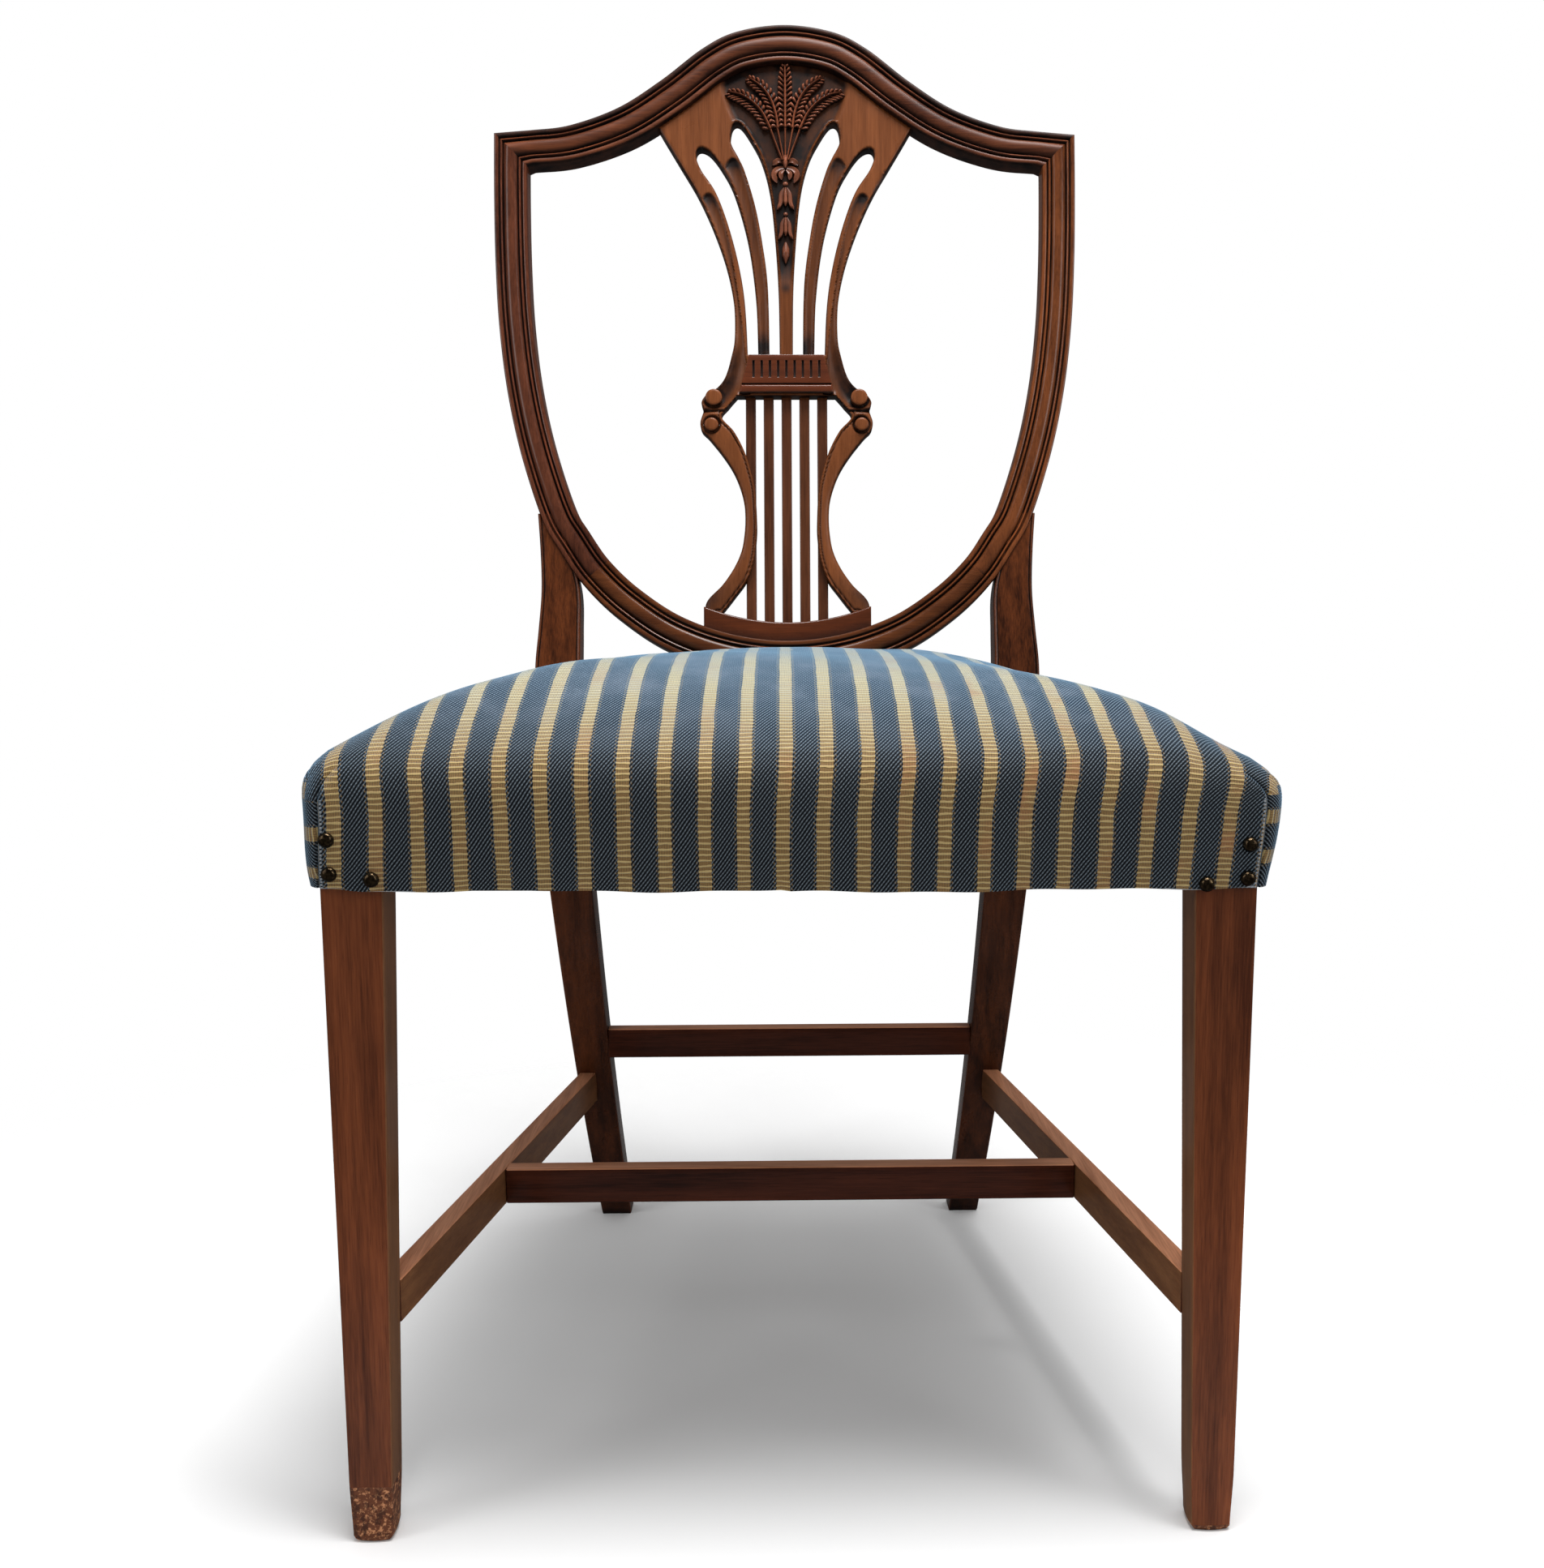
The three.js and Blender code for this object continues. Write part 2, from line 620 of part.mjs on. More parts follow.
// Shares of the head's half width and of the height from the shoe's ends to the crest.
const splatShares = {
  outside: [
    [1, 0.812], [0.865, 0.764], [0.715, 0.71], [0.59, 0.652], [0.486, 0.588], [0.427, 0.525],
    [0.42, 0.463], [0.45, 0.429], [0.5, 0.396], [0.565, 0.378], [0.655, 0.366], [0.694, 0.352],
    [0.68, 0.337], [0.705, 0.318], [0.69, 0.303], [0.63, 0.29], [0.52, 0.261], [0.435, 0.233],
    [0.38, 0.205], [0.349, 0.178], [0.341, 0.15], [0.35, 0.122], [0.375, 0.095], [0.435, 0.067],
    [0.53, 0.038], [0.655, 0.01], [0.68, -0.02],
  ],
  inside: [
    [0.57, -0.02], [0.5, -0.003], [0.415, 0.02], [0.33, 0.045], [0.272, 0.08], [0.248, 0.12],
    [0.246, 0.15], [0.26, 0.2], [0.3, 0.237], [0.35, 0.269], [0.43, 0.301], [0.53, 0.326],
    [0.47, 0.345], [0.4, 0.362],
  ],
  innerSlot: [
    [0.137, 0.433], [0.054, 0.433], [0.06, 0.54], [0.084, 0.63], [0.124, 0.713], [0.19, 0.769],
    [0.28, 0.807], [0.37, 0.833], [0.43, 0.829], [0.445, 0.8], [0.38, 0.772], [0.33, 0.748],
    [0.25, 0.691], [0.193, 0.628], [0.148, 0.55],
  ],
  outerSlot: [
    [0.315, 0.433], [0.229, 0.433], [0.245, 0.53], [0.305, 0.628], [0.415, 0.713], [0.52, 0.757],
    [0.62, 0.784], [0.7, 0.79], [0.73, 0.777], [0.69, 0.752], [0.57, 0.713], [0.47, 0.657],
    [0.385, 0.588], [0.335, 0.52],
  ],
};
const splatPoint = ([across, up]) => new THREE.Vector2(across * splat.headHalf, upSplat(up));

// A smooth line through chosen points, ended where it was chosen to end.
const smoothed = (shares, per) => new THREE.SplineCurve(shares.map(splatPoint)).getPoints((shares.length - 1) * per);

// One pierced slot, as a cutter that goes right through the board.
function slot(shares, side) {
  const [first, ...rest] = shares.map(splatPoint);
  const round = [...rest, first];
  const path = new THREE.SplineCurve(round).getPoints((round.length - 1) * 2);
  const outline = new THREE.Shape(path.map((p) => new THREE.Vector2(side * p.x, p.y)));
  return solidOf(boardOf(outline, splat.front - overrun, splat.thickness + 2 * overrun));
}

function splatOutline() {
  const rightSide = [new THREE.Vector2(splat.headHalf, splatTop), ...smoothed(splatShares.outside, 2)];
  const rightInside = smoothed(splatShares.inside, 1);
  const right = [...rightSide, ...rightInside];
  return new THREE.Shape([...right, ...mirrored(right)]);
}

// A plain head with no slots, for the tongue that enters the crest.
const headOutline = new THREE.Shape([
  new THREE.Vector2(-splat.headHalf + splat.tongue, splatPoint([0, 0.86]).y),
  new THREE.Vector2(splat.headHalf - splat.tongue, splatPoint([0, 0.86]).y),
  new THREE.Vector2(splat.headHalf - splat.tongue, splatTop),
  new THREE.Vector2(-splat.headHalf + splat.tongue, splatTop),
]);

const tongueFront = splat.front + (splat.thickness - splat.tongueThickness) / 2;
const crestSpan = [0.2, 0.8];
const crestZone = (gap) => solidOf(zoneBeyond(innerEdge(crestLine, ...crestSpan, gap), splatTop + crestRise));

function splatTongue(grow) {
  const plate = boardOf(headOutline, tongueFront - grow, splat.tongueThickness + 2 * grow);
  return cutBy(solidOf(plate), [crestZone(-splat.tongue - grow)]);
}

// The shoe stands on the inner edge of the bottom rail and carries the arms and the strings.
const shoeTopAt = (across) => mix(shoeTop, shoeEndTop, (across / shoe.half) ** 2);
const shoeSteps = 12;
const shoeTopLine = (half, gap) =>
  Array.from({ length: shoeSteps + 1 }, (_, i) => {
    const across = mix(half, -half, i / shoeSteps);
    return new THREE.Vector2(across, shoeTopAt(across) + gap);
  });
const shoeOutline = new THREE.Shape([
  ...shoeTopLine(shoe.half, 0),
  new THREE.Vector2(-shoe.half, shieldFoot),
  new THREE.Vector2(shoe.half, shieldFoot),
]);
const bottomSpan = [0.4, 0.6];
const railZone = solidOf(zoneBeyond(innerEdge(shieldLine, ...bottomSpan, fit), shieldFoot - mouldingCentre));
const shoeZone = solidOf(zoneBeyond(shoeTopLine(splat.headHalf, fit), shieldFoot - mouldingCentre));

const armFoot = { middle: 0.56, half: 0.055 };
function armTenon(side, grow) {
  const middle = side * armFoot.middle * splat.headHalf;
  const half = armFoot.half * splat.headHalf + grow;
  const thin = splat.tongueThickness + 2 * grow;
  return solidOf(
    boxBetween(
      point(middle - half, tongueFront - grow, shoeTopAt(middle) - splat.tongue - grow),
      point(middle + half, tongueFront - grow + thin, shoeEndTop + splat.tongue),
    ),
  );
}

const stringNames = ["string_1", "string_2", "string_3", "string_4", "string_5"];
const stringPlaces = [-2, -1, 0, 1, 2].map((step) => step * strings.spacing);
function stringBar(across, grow) {
  return solidOf(
    boxBetween(
      point(across - strings.width / 2 - grow, strings.front - grow, splatSeat + strings.seat - grow),
      point(
        across + strings.width / 2 + grow,
        strings.front + strings.thickness + (grow ? overrun : 0),
        tablet.foot + strings.housed + grow,
      ),
    ),
  );
}

const tabletOutline = (grow) =>
  new THREE.Shape([
    new THREE.Vector2(-tablet.footHalf - grow, tablet.foot - grow),
    new THREE.Vector2(tablet.footHalf + grow, tablet.foot - grow),
    new THREE.Vector2(tablet.topHalf + grow, tablet.top + grow),
    new THREE.Vector2(-tablet.topHalf - grow, tablet.top + grow),
  ]);

function tabletBody() {
  const plate = solidOf(boardOf(tabletOutline(0), tablet.front, tablet.thickness));
  const flutes = Array.from({ length: flute.count }, (_, i) => {
    const across = (i - (flute.count - 1) / 2) * flute.pitch;
    return solidOf(
      boxBetween(
        point(across - flute.width / 2, tablet.front - overrun, mix(tablet.foot, tablet.top, flute.footShare)),
        point(across + flute.width / 2, tablet.front + flute.depth, mix(tablet.foot, tablet.top, flute.topShare)),
      ),
    );
  });
  return cutBy(plate, flutes);
}

// Carved wheat ears in a fan and the bellflower drop below them, in low relief on the board.
const earTurns = [-48, -25, 0, 25, 48].map((degrees) => THREE.MathUtils.degToRad(degrees));
const dropShares = [
  [0.735, 0.17, 0.028],
  [0.682, 0.12, 0.034],
  [0.616, 0.09, 0.03],
  [0.56, 0.05, 0.026],
];
function relief(across, up, halfWidth, halfHeight, turn) {
  const shape = new THREE.SphereGeometry(1, carving.sides, carving.sides / 2)
    .scale(halfWidth, carving.depth, halfHeight)
    .rotateY(turn)
    .translate(across, splat.front, up);
  return solidOf(shape);
}
function carvings() {
  const ears = earTurns.map((turn) => {
    const middle = carving.fanInner + carving.earLength / 2;
    const across = middle * Math.sin(turn);
    const up = carving.fanCentre + middle * Math.cos(turn) * (1 - 0.1 * Math.abs(Math.sin(turn)));
    return relief(across, up, carving.earWidth / 2, carving.earLength / 2, turn);
  });
  const drop = dropShares.map(([upShare, halfShare, tallShare]) => {
    const { y } = splatPoint([0, upShare]);
    return relief(0, y, (halfShare * splat.headHalf) / 2, tallShare * (splatTop - shoeEndTop), 0);
  });
  return joined([...ears, ...drop]);
}

function splatBoard() {
  const raw = solidOf(boardOf(splatOutline(), splat.front, splat.thickness));
  const slots = [-1, 1].flatMap((side) => [slot(splatShares.innerSlot, side), slot(splatShares.outerSlot, side)]);
  const trimmed = cutBy(raw, [crestZone(fit), shoeZone, ...slots]);
  const housed = cutBy(trimmed, [
    solidOf(boardOf(tabletOutline(fit), tablet.front - fit, tablet.thickness + 2 * fit)),
    ...stringPlaces.map((across) => stringBar(across, fit)),
  ]);
  const ornaments = cutBy(carvings(), [crestZone(fit)]);
  return joined([housed, splatTongue(0), armTenon(-1, 0), armTenon(1, 0), ornaments]);
}

// Padding: interlaced webbing on the rails, hessian, stuffing, then the cover.

const webLow = railTop + fit + webbing.thickness / 2;
const webHigh = webLow + webbing.thickness + fit;

// A strap that runs along its own x and rises over or dips under what it crosses.
function strap(length, crossings) {
  const half = webbing.width / 2;
  const levels = [
    [-length / 2, webLow],
    ...crossings.flatMap(({ at, high }) => [
      [at - half, high ? webHigh : webLow],
      [at + half, high ? webHigh : webLow],
    ]),
    [length / 2, webLow],
  ];
  const edge = (offset) => levels.map(([along, level]) => new THREE.Vector2(along, level + offset));
  const outline = new THREE.Shape([...edge(-webbing.thickness / 2), ...edge(webbing.thickness / 2).reverse()]);
  return new THREE.ExtrudeGeometry(outline, { depth: webbing.width, bevelEnabled: false })
    .rotateX(Math.PI / 2)
    .translate(0, half, 0);
}

const spread = (count, pitch) => Array.from({ length: count }, (_, i) => (i - (count - 1) / 2) * pitch);
const alongPlaces = spread(webbing.alongCount, 2 * rearSeatHalf * webbing.alongShare);
const crossPlaces = spread(webbing.crossCount, (rearRailY - frontRailY) * webbing.crossShare);
const webMiddleY = (frontRailY + rearRailY) / 2;
const alongLength = rearRailY - frontRailY + railThickness / 2;

const alongStraps = alongPlaces.map((x, i) => {
  const crossings = crossPlaces.map((at, j) => ({ at, high: (i + j) % 2 === 0 }));
  return strap(alongLength, crossings).rotateZ(Math.PI / 2).translate(x, webMiddleY, 0);
});
const crossStraps = crossPlaces.map((y, j) => {
  const crossings = alongPlaces.map((at, i) => ({ at, high: (i + j) % 2 !== 0 }));
  const reach = sideRailInner(webMiddleY + y) + railThickness / 2;
  return strap(2 * reach, crossings).translate(0, webMiddleY + y, 0);
});

// The seat seen from above, moved out by a distance: front, rounded corner, side, notch for the rear leg, back.
const sideRun = rearLegAt(seatUnder).front - frontLeg.headDepth;
const seatSide = (y) => mix(frontHalf, rearSeatHalf, Math.max(y - frontLeg.headDepth, 0) / sideRun);
const coverBack = rearRailY + railThickness / 2;
const planCounts = { front: 10, corner: 3, side: 6, back: 6 };

function seatPlan(out, corner = cover.cornerTight, inward = 0) {
  const radius = corner + Math.max(out, 0);
  const legFront = rearLegAt(seatUnder).front - cover.legGap - inward;
  const legInner = rearLegInner(seatUnder) - cover.legGap - inward;
  const cornerX = seatSide(radius - out) + out - radius;
  const cornerY = radius - out;
  const half = [];
  for (let i = 0; i <= planCounts.front / 2; i += 1) {
    const x = (cornerX * i) / (planCounts.front / 2);
    half.push([x, -out - cover.frontBow * (1 - (x / cornerX) ** 2)]);
  }
  for (let i = 1; i <= planCounts.corner; i += 1) {
    const turn = (Math.PI / 2) * (i / planCounts.corner);
    half.push([cornerX + radius * Math.sin(turn), cornerY - radius * Math.cos(turn)]);
  }
  for (let i = 0; i <= planCounts.side; i += 1) {
    const y = mix(frontLeg.headDepth, legFront, i / planCounts.side);
    half.push([seatSide(y) + out, y]);
  }
  half.push([legInner, legFront]);
  for (let i = 0; i < planCounts.back / 2; i += 1) {
    half.push([legInner * (1 - i / (planCounts.back / 2)), coverBack + out]);
  }
  const right = half.map(([x, y]) => new THREE.Vector2(x, y));
  return [...right, new THREE.Vector2(0, coverBack + out), ...mirrored(right.slice(1))];
}

// The padded seat's outer face from the hem to the crown: how far out of the frame, how high, what share of the
// plan is left, and how much of the padding's thickness counts downwards there instead of sideways.
const sideLevelShares = [[0, 0], [0.45, 0.75], [1, 1]];
const rollShares = [[0.45, 0.75], [0.8, 0.25], [1, -0.45]];
const crownShares = [0.94, 0.83, 0.67, 0.46, 0.2];
const crownOut = rollShares[rollShares.length - 1][1] * cover.bulgeOut;
const seatProfile = [
  ...sideLevelShares.map(([rise, outShare]) => ({
    out: mix(cover.hemOut, cover.bulgeOut, outShare),
    level: mix(hemLevel, bulgeLevel, rise),
    share: 1,
    downward: 0,
    corner: cover.cornerTight,
  })),
  ...rollShares.map(([rise, outShare]) => ({
    out: outShare * cover.bulgeOut,
    level: mix(bulgeLevel, shoulderLevel, rise),
    share: 1,
    downward: rise,
    corner: mix(cover.cornerTight, cover.cornerSoft, rise ** 4),
  })),
  ...crownShares.map((share) => ({
    out: crownOut,
    level: mix(shoulderLevel, crownLevel, 1 - share ** cover.roundness),
    share,
    downward: 1,
    corner: cover.cornerSoft,
  })),
];

// The padding has settled to the right: the slump is largest where share * (1 - share * share) is.
const slumpPeak = 2 / (3 * Math.sqrt(3));
function seatRing({ out, level, share, downward, corner }, inward) {
  const plan = seatPlan(out - inward, corner, inward);
  return plan.map((p) => {
    const across = (p.x * share) / frontHalf;
    const settled = (cover.slump * across * (1 - share ** 2)) / slumpPeak;
    return point(p.x * share, mix(cover.centreY, p.y, share), level - inward * downward - settled);
  });
}

function coverShell() {
  const outer = seatProfile.map((row) => seatRing(row, 0));
  const inner = seatProfile.map((row) => seatRing(row, cover.thickness));
  const seatFrame = [hemLevel - overrun, railTop + fit].map((level) =>
    seatPlan(fit).map((p) => point(p.x, p.y, level)),
  );
  return cutBy(solidOf(loft([...inner.reverse(), ...outer])), [solidOf(loft(seatFrame))]);
}

const hessianLow = webHigh + webbing.thickness / 2 + fit;
const stuffingLow = hessianLow + hessianThickness + fit;

function stuffingBody() {
  const inward = cover.thickness + stuffingGap;
  const above = seatProfile.filter((row) => row.level - inward * row.downward > stuffingLow);
  const foot = { ...above[0], level: stuffingLow, downward: 0 };
  return solidOf(loft([foot, ...above].map((row) => seatRing(row, inward))));
}

// A flat sheet of the seat's plan, with the legs cut out of it.
function sheet(inset, low, thickness, cutters) {
  const plan = seatPlan(-inset, cover.cornerTight, inset);
  const rings = [low, low + thickness].map((level) => plan.map((p) => point(p.x, p.y, level)));
  return cutBy(solidOf(loft(rings)), cutters);
}

// Domed nails through the cover into the front legs. Their y axis points out of the dome.
function nailSurface(grow) {
  const profile = [
    new THREE.Vector2(0, -nail.length - grow),
    new THREE.Vector2(nail.shankRadius + grow, -nail.length - grow),
    new THREE.Vector2(nail.shankRadius + grow, -grow),
    new THREE.Vector2(nail.headRadius + grow, -grow),
    new THREE.Vector2((nail.headRadius + grow) * 0.8, nail.headHeight * 0.65 + grow),
    new THREE.Vector2((nail.headRadius + grow) * 0.4, nail.headHeight * 0.95 + grow),
    new THREE.Vector2(0, nail.headHeight + grow),
  ];
  return new THREE.LatheGeometry(profile, nail.sides);
}

// The front face of the cover, from how far it stands out at that height.
function coverFront(across, level) {
  const above = seatProfile.findIndex((row) => row.level > level);
  const [low, high] = [seatProfile[above - 1], seatProfile[above]];
  const out = mix(low.out, high.out, (level - low.level) / (high.level - low.level));
  return -out - cover.frontBow * (1 - (across / frontHalf) ** 2);
}
const nailFrames = Object.entries(sides).flatMap(([sideName, side]) =>
  nailPlaces.map((place, i) => {
    const across = frontHalf - place.fromSide;
    const face = coverFront(across, place.height) + nail.sink;
    return {
      name: "nail_" + sideName + "_" + (i + 1),
      frame: new THREE.Matrix4()
        .makeTranslation(side * across, face, place.height)
        .multiply(new THREE.Matrix4().makeRotationX(Math.PI)),
    };
  }),
);
const nailHoles = nailFrames.map(({ frame }) => solidOf(nailSurface(fit), frame));

// The chair, put together.

const chair = new THREE.Group();
chair.name = "shield_back_chair";
const base = new THREE.Group();
const seat = new THREE.Group();
const back = new THREE.Group();
back.applyMatrix4(backFrame);
chair.add(base, seat, back);

const home = new THREE.Matrix4();
function place(group, name, solid, finish, frame = home) {
  const mesh = new THREE.Mesh(surfaceOf(solid, frame), finishes[finish].clone());
  mesh.name = name;
  mesh.applyMatrix4(frame);
  group.add(mesh);
}

const toChair = (geometry) => solidOf(geometry, backFrame);

for (const [name, side] of Object.entries(sides)) {
  const other = name === "left" ? 0 : 1;
  const leg = cutBy(solidOf(frontLegBody(side)), [
    frontRail.mortises[other],
    sideRails[name].mortises[0],
    sideStretchers[name].mortises[0],
    ...nailHoles,
  ]);
  place(base, "front_leg_" + name, leg, "mahogany");

  const stileInBack = cutBy(joined([stile(side), solidOf(crestTenon(side))]), [solidOf(bottomRailTenon(side, fit))]);
  const stileSurface = surfaceOf(stileInBack, home);
  const post = cutBy(solidOf(rearPost(side)), [toChair(bottomRailTenon(side, fit)), toChair(bottomRailBody())]);
  const rear = cutBy(joined([post, toChair(stileSurface)]), [
    rearRail.mortises[other],
    sideRails[name].mortises[1],
    sideStretchers[name].mortises[1],
    backStretcher.mortises[other],
  ]);
  place(base, "rear_leg_" + name, rear, "mahogany");

  const blockHoles = screwHolesOf(blockPlaces.filter((b) => b.side === side));
  const shoulders = [frontShoulder[name], rearShoulder[name]];
  const sideRail = cutBy(sideRails[name].finish(shoulders), blockHoles);
  place(base, "side_seat_rail_" + name, sideRail, "beech", sideRails[name].frame);

  const stretcher = cutBy(sideStretchers[name].finish(shoulders), [cross.mortises[other]]);
  place(base, "side_stretcher_" + name, stretcher, "mahogany", sideStretchers[name].frame);
}

const frontHoles = screwHolesOf(blockPlaces.filter((b) => b.atFront));
const rearHoles = screwHolesOf(blockPlaces.filter((b) => !b.atFront));
const frontLegs = Object.values(grownFront);
const rearLegs = Object.values(grownRear);
const stretcherSides = Object.values(sideStretchers).map((rail) => rail.envelope);
place(base, "front_seat_rail", cutBy(frontRail.finish(frontLegs), frontHoles), "beech", frontRail.frame);
place(base, "rear_seat_rail", cutBy(rearRail.finish(rearLegs), rearHoles), "beech", rearRail.frame);
place(base, "cross_stretcher", cross.finish(stretcherSides), "mahogany", cross.frame);
place(base, "rear_stretcher", backStretcher.finish(rearLegs), "mahogany", backStretcher.frame);

for (const corner of blockPlaces) {
  const legs = corner.atFront ? grownFront : grownRear;
  const leg = corner.side < 0 ? legs.left : legs.right;
  place(base, "corner_block_" + corner.name, cutBy(corner.prism, [leg, ...screwHolesOf([corner])]), "beech");
  corner.screwFrames.forEach((frame, i) => {
    const body = solidOf(new THREE.LatheGeometry(screwProfile(0), screwSides), frame);
    place(base, "block_screw_" + corner.name + "_" + (i + 1), body, "steel", frame);
  });
}

const crest = cutBy(solidOf(crestBody()), [
  solidOf(crestTenon(-1, fit)),
  solidOf(crestTenon(1, fit)),
  splatTongue(fit),
]);
const bottomRail = joined([
  solidOf(bottomRailBody()),
  solidOf(bottomRailTenon(-1)),
  solidOf(bottomRailTenon(1)),
]);
const shoeBody = cutBy(solidOf(boardOf(shoeOutline, shoe.front, shoe.thickness)), [
  railZone,
  armTenon(-1, fit),
  armTenon(1, fit),
  ...stringPlaces.map((across) => stringBar(across, fit)),
]);
place(back, "crest_rail", crest, "darkMahogany");
place(back, "shield_bottom_rail", bottomRail, "darkMahogany");
place(back, "splat_board", splatBoard(), "mahogany");
place(back, "splat_tablet", tabletBody(), "mahogany");
place(back, "splat_shoe", shoeBody, "mahogany");
stringPlaces.forEach((across, i) => place(back, stringNames[i], stringBar(across, 0), "mahogany"));

alongStraps.forEach((geometry, i) => place(seat, "webbing_along_" + (i + 1), solidOf(geometry), "jute"));
crossStraps.forEach((geometry, i) => place(seat, "webbing_across_" + (i + 1), solidOf(geometry), "jute"));
place(seat, "hessian", sheet(hessianInset, hessianLow, hessianThickness, []), "jute");
place(seat, "seat_stuffing", stuffingBody(), "hair");
place(seat, "seat_cover", cutBy(coverShell(), nailHoles), "stripe");
const clothLow = seatUnder - fit - bottomCloth.thickness;
place(
  seat,
  "bottom_cloth",
  sheet(bottomCloth.inset, clothLow, bottomCloth.thickness, [...frontLegs, ...rearLegs]),
  "blackCloth",
);
nailFrames.forEach(({ name, frame }) => place(seat, name, solidOf(nailSurface(0), frame), "brass", frame));

// The origin is on the floor, in the middle of the space that the chair takes.
const box = new THREE.Box3().setFromObject(chair);
const middle = box.getCenter(new THREE.Vector3());
chair.position.set(-middle.x, -middle.y, -box.min.z);

export default chair;
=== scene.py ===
# %% Load the frame
import math
import bpy
import numpy as np
from mathutils import Matrix, Vector
from mathutils.geometry import delaunay_2d_cdt
from mathutils.kdtree import KDTree


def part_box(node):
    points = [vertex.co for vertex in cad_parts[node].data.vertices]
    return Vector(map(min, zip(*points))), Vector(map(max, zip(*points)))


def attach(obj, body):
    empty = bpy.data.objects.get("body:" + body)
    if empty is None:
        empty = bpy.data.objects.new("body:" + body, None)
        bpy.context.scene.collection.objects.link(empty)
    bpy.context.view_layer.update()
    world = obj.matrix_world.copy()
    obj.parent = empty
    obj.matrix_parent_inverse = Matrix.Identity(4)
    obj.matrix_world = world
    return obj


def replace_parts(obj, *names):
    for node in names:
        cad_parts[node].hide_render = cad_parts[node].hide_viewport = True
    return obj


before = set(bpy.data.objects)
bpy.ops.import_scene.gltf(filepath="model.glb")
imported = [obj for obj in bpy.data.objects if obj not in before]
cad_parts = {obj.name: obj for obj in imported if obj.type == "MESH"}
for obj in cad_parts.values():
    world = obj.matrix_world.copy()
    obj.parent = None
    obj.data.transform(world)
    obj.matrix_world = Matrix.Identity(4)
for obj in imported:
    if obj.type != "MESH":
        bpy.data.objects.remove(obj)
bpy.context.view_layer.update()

print("CAD nodes loaded:", len(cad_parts))

# %% [markdown]
# # A shield back chair
# The chair is built piece by piece, as a chair maker would: legs, stretchers, the moulded shield, the carved
# splat, and then the upholstered seat. Every piece is drawn in millimetres in the chair's own drawing: x
# across, y back from the front legs' faces, z up from the floor. The back leans, so it has a drawing of its
# own: u across, w into its thickness and v up the lean. Two short helpers turn both into Blender's metres.

# %% Drawing frames
MM = 0.001
FRONT_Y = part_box("front_leg_left")[0].y
BACK_Y = 395.0
BACK_Z = 440.0
LEAN = math.radians(9)
UP = (0, 0, 1)


def placed(points):
    """Drawing millimetres to the frame's metres."""
    points = np.array(points, float).reshape(-1, 3) * MM
    points[:, 1] += FRONT_Y
    return points


def in_back(u, w, v):
    """A place in the leaning back to the frame's metres."""
    u, w, v = (np.ravel(a) for a in np.broadcast_arrays(u, w, v))
    y = BACK_Y + v * math.sin(LEAN) + w * math.cos(LEAN)
    z = BACK_Z + v * math.cos(LEAN) - w * math.sin(LEAN)
    return placed(np.stack([u, y, z], axis=1))


def mix(a, b, share):
    return a + (b - a) * share


def smooth(share):
    """A share kept between 0 and 1 that starts and ends gently."""
    share = np.clip(share, 0, 1)
    return share * share * (3 - 2 * share)


def over(value, span):
    """0 before a span and 1 after it. A span is its start and its length, which can run downwards."""
    return smooth((value - span[0]) / span[1])


def hump(distance, width):
    """1 in the middle, and near nothing at twice the width away from it."""
    return math.exp(-((distance / width) ** 2))


print("front face of the legs at y =", round(FRONT_Y, 4))

# %% [markdown]
# ## Working by hand in code
# Blender's operators act on what is selected, so each helper first clears the selection. `in_edit` picks
# vertices by their place and `on_faces` picks faces, then one operator runs in edit mode.

# %% Selection helpers


def only(piece):
    """The one selected and active object."""
    bpy.ops.object.select_all(action="DESELECT")
    piece.select_set(True)
    bpy.context.view_layer.objects.active = piece


def nothing_picked(piece, kind):
    only(piece)
    bpy.ops.object.mode_set(mode="EDIT")
    bpy.ops.mesh.select_mode(type=kind)
    bpy.ops.mesh.select_all(action="DESELECT")
    bpy.ops.object.mode_set(mode="OBJECT")


def edit(operator, settings):
    bpy.ops.object.mode_set(mode="EDIT")
    operator(**settings)
    bpy.ops.object.mode_set(mode="OBJECT")


def drawing_place(co):
    return co.x / MM, (co.y - FRONT_Y) / MM, co.z / MM


def in_edit(piece, test, operator, **settings):
    """One edit mode operator on the vertices that pass a test of their place in the drawing."""
    nothing_picked(piece, "VERT")
    mesh = piece.data
    picked = [bool(test(*drawing_place(vertex.co))) for vertex in mesh.vertices]
    for vertex, pick in zip(mesh.vertices, picked):
        vertex.select = pick
    for part in (*mesh.edges, *mesh.polygons):
        part.select = all(picked[i] for i in part.vertices)
    edit(operator, settings)


def on_faces(piece, test, operator, **settings):
    """One edit mode operator on the faces whose middle and normal pass a test."""
    nothing_picked(piece, "FACE")
    for face in piece.data.polygons:
        face.select = bool(test(*drawing_place(face.center), face.normal))
    edit(operator, settings)


def everything(x, y, z):
    return True


def turned_out(piece):
    in_edit(piece, everything, bpy.ops.mesh.normals_make_consistent, inside=False)


def sliced(piece, place, normal):
    """A new loop of edges where a plane cuts the piece."""
    in_edit(piece, everything, bpy.ops.mesh.bisect, plane_co=placed(place)[0], plane_no=normal)


def modified(piece, kind, **settings):
    """A modifier, applied at once."""
    only(piece)
    modifier = piece.modifiers.new(kind.title(), kind)
    for name, value in settings.items():
        setattr(modifier, name, value)
    bpy.ops.object.modifier_apply(modifier=modifier.name)


def bevelled(piece, width, segments, degrees):
    """Edges sharper than an angle, rounded."""
    angle = math.radians(degrees)
    modified(piece, "BEVEL", width=width * MM, segments=segments, limit_method="ANGLE", angle_limit=angle)


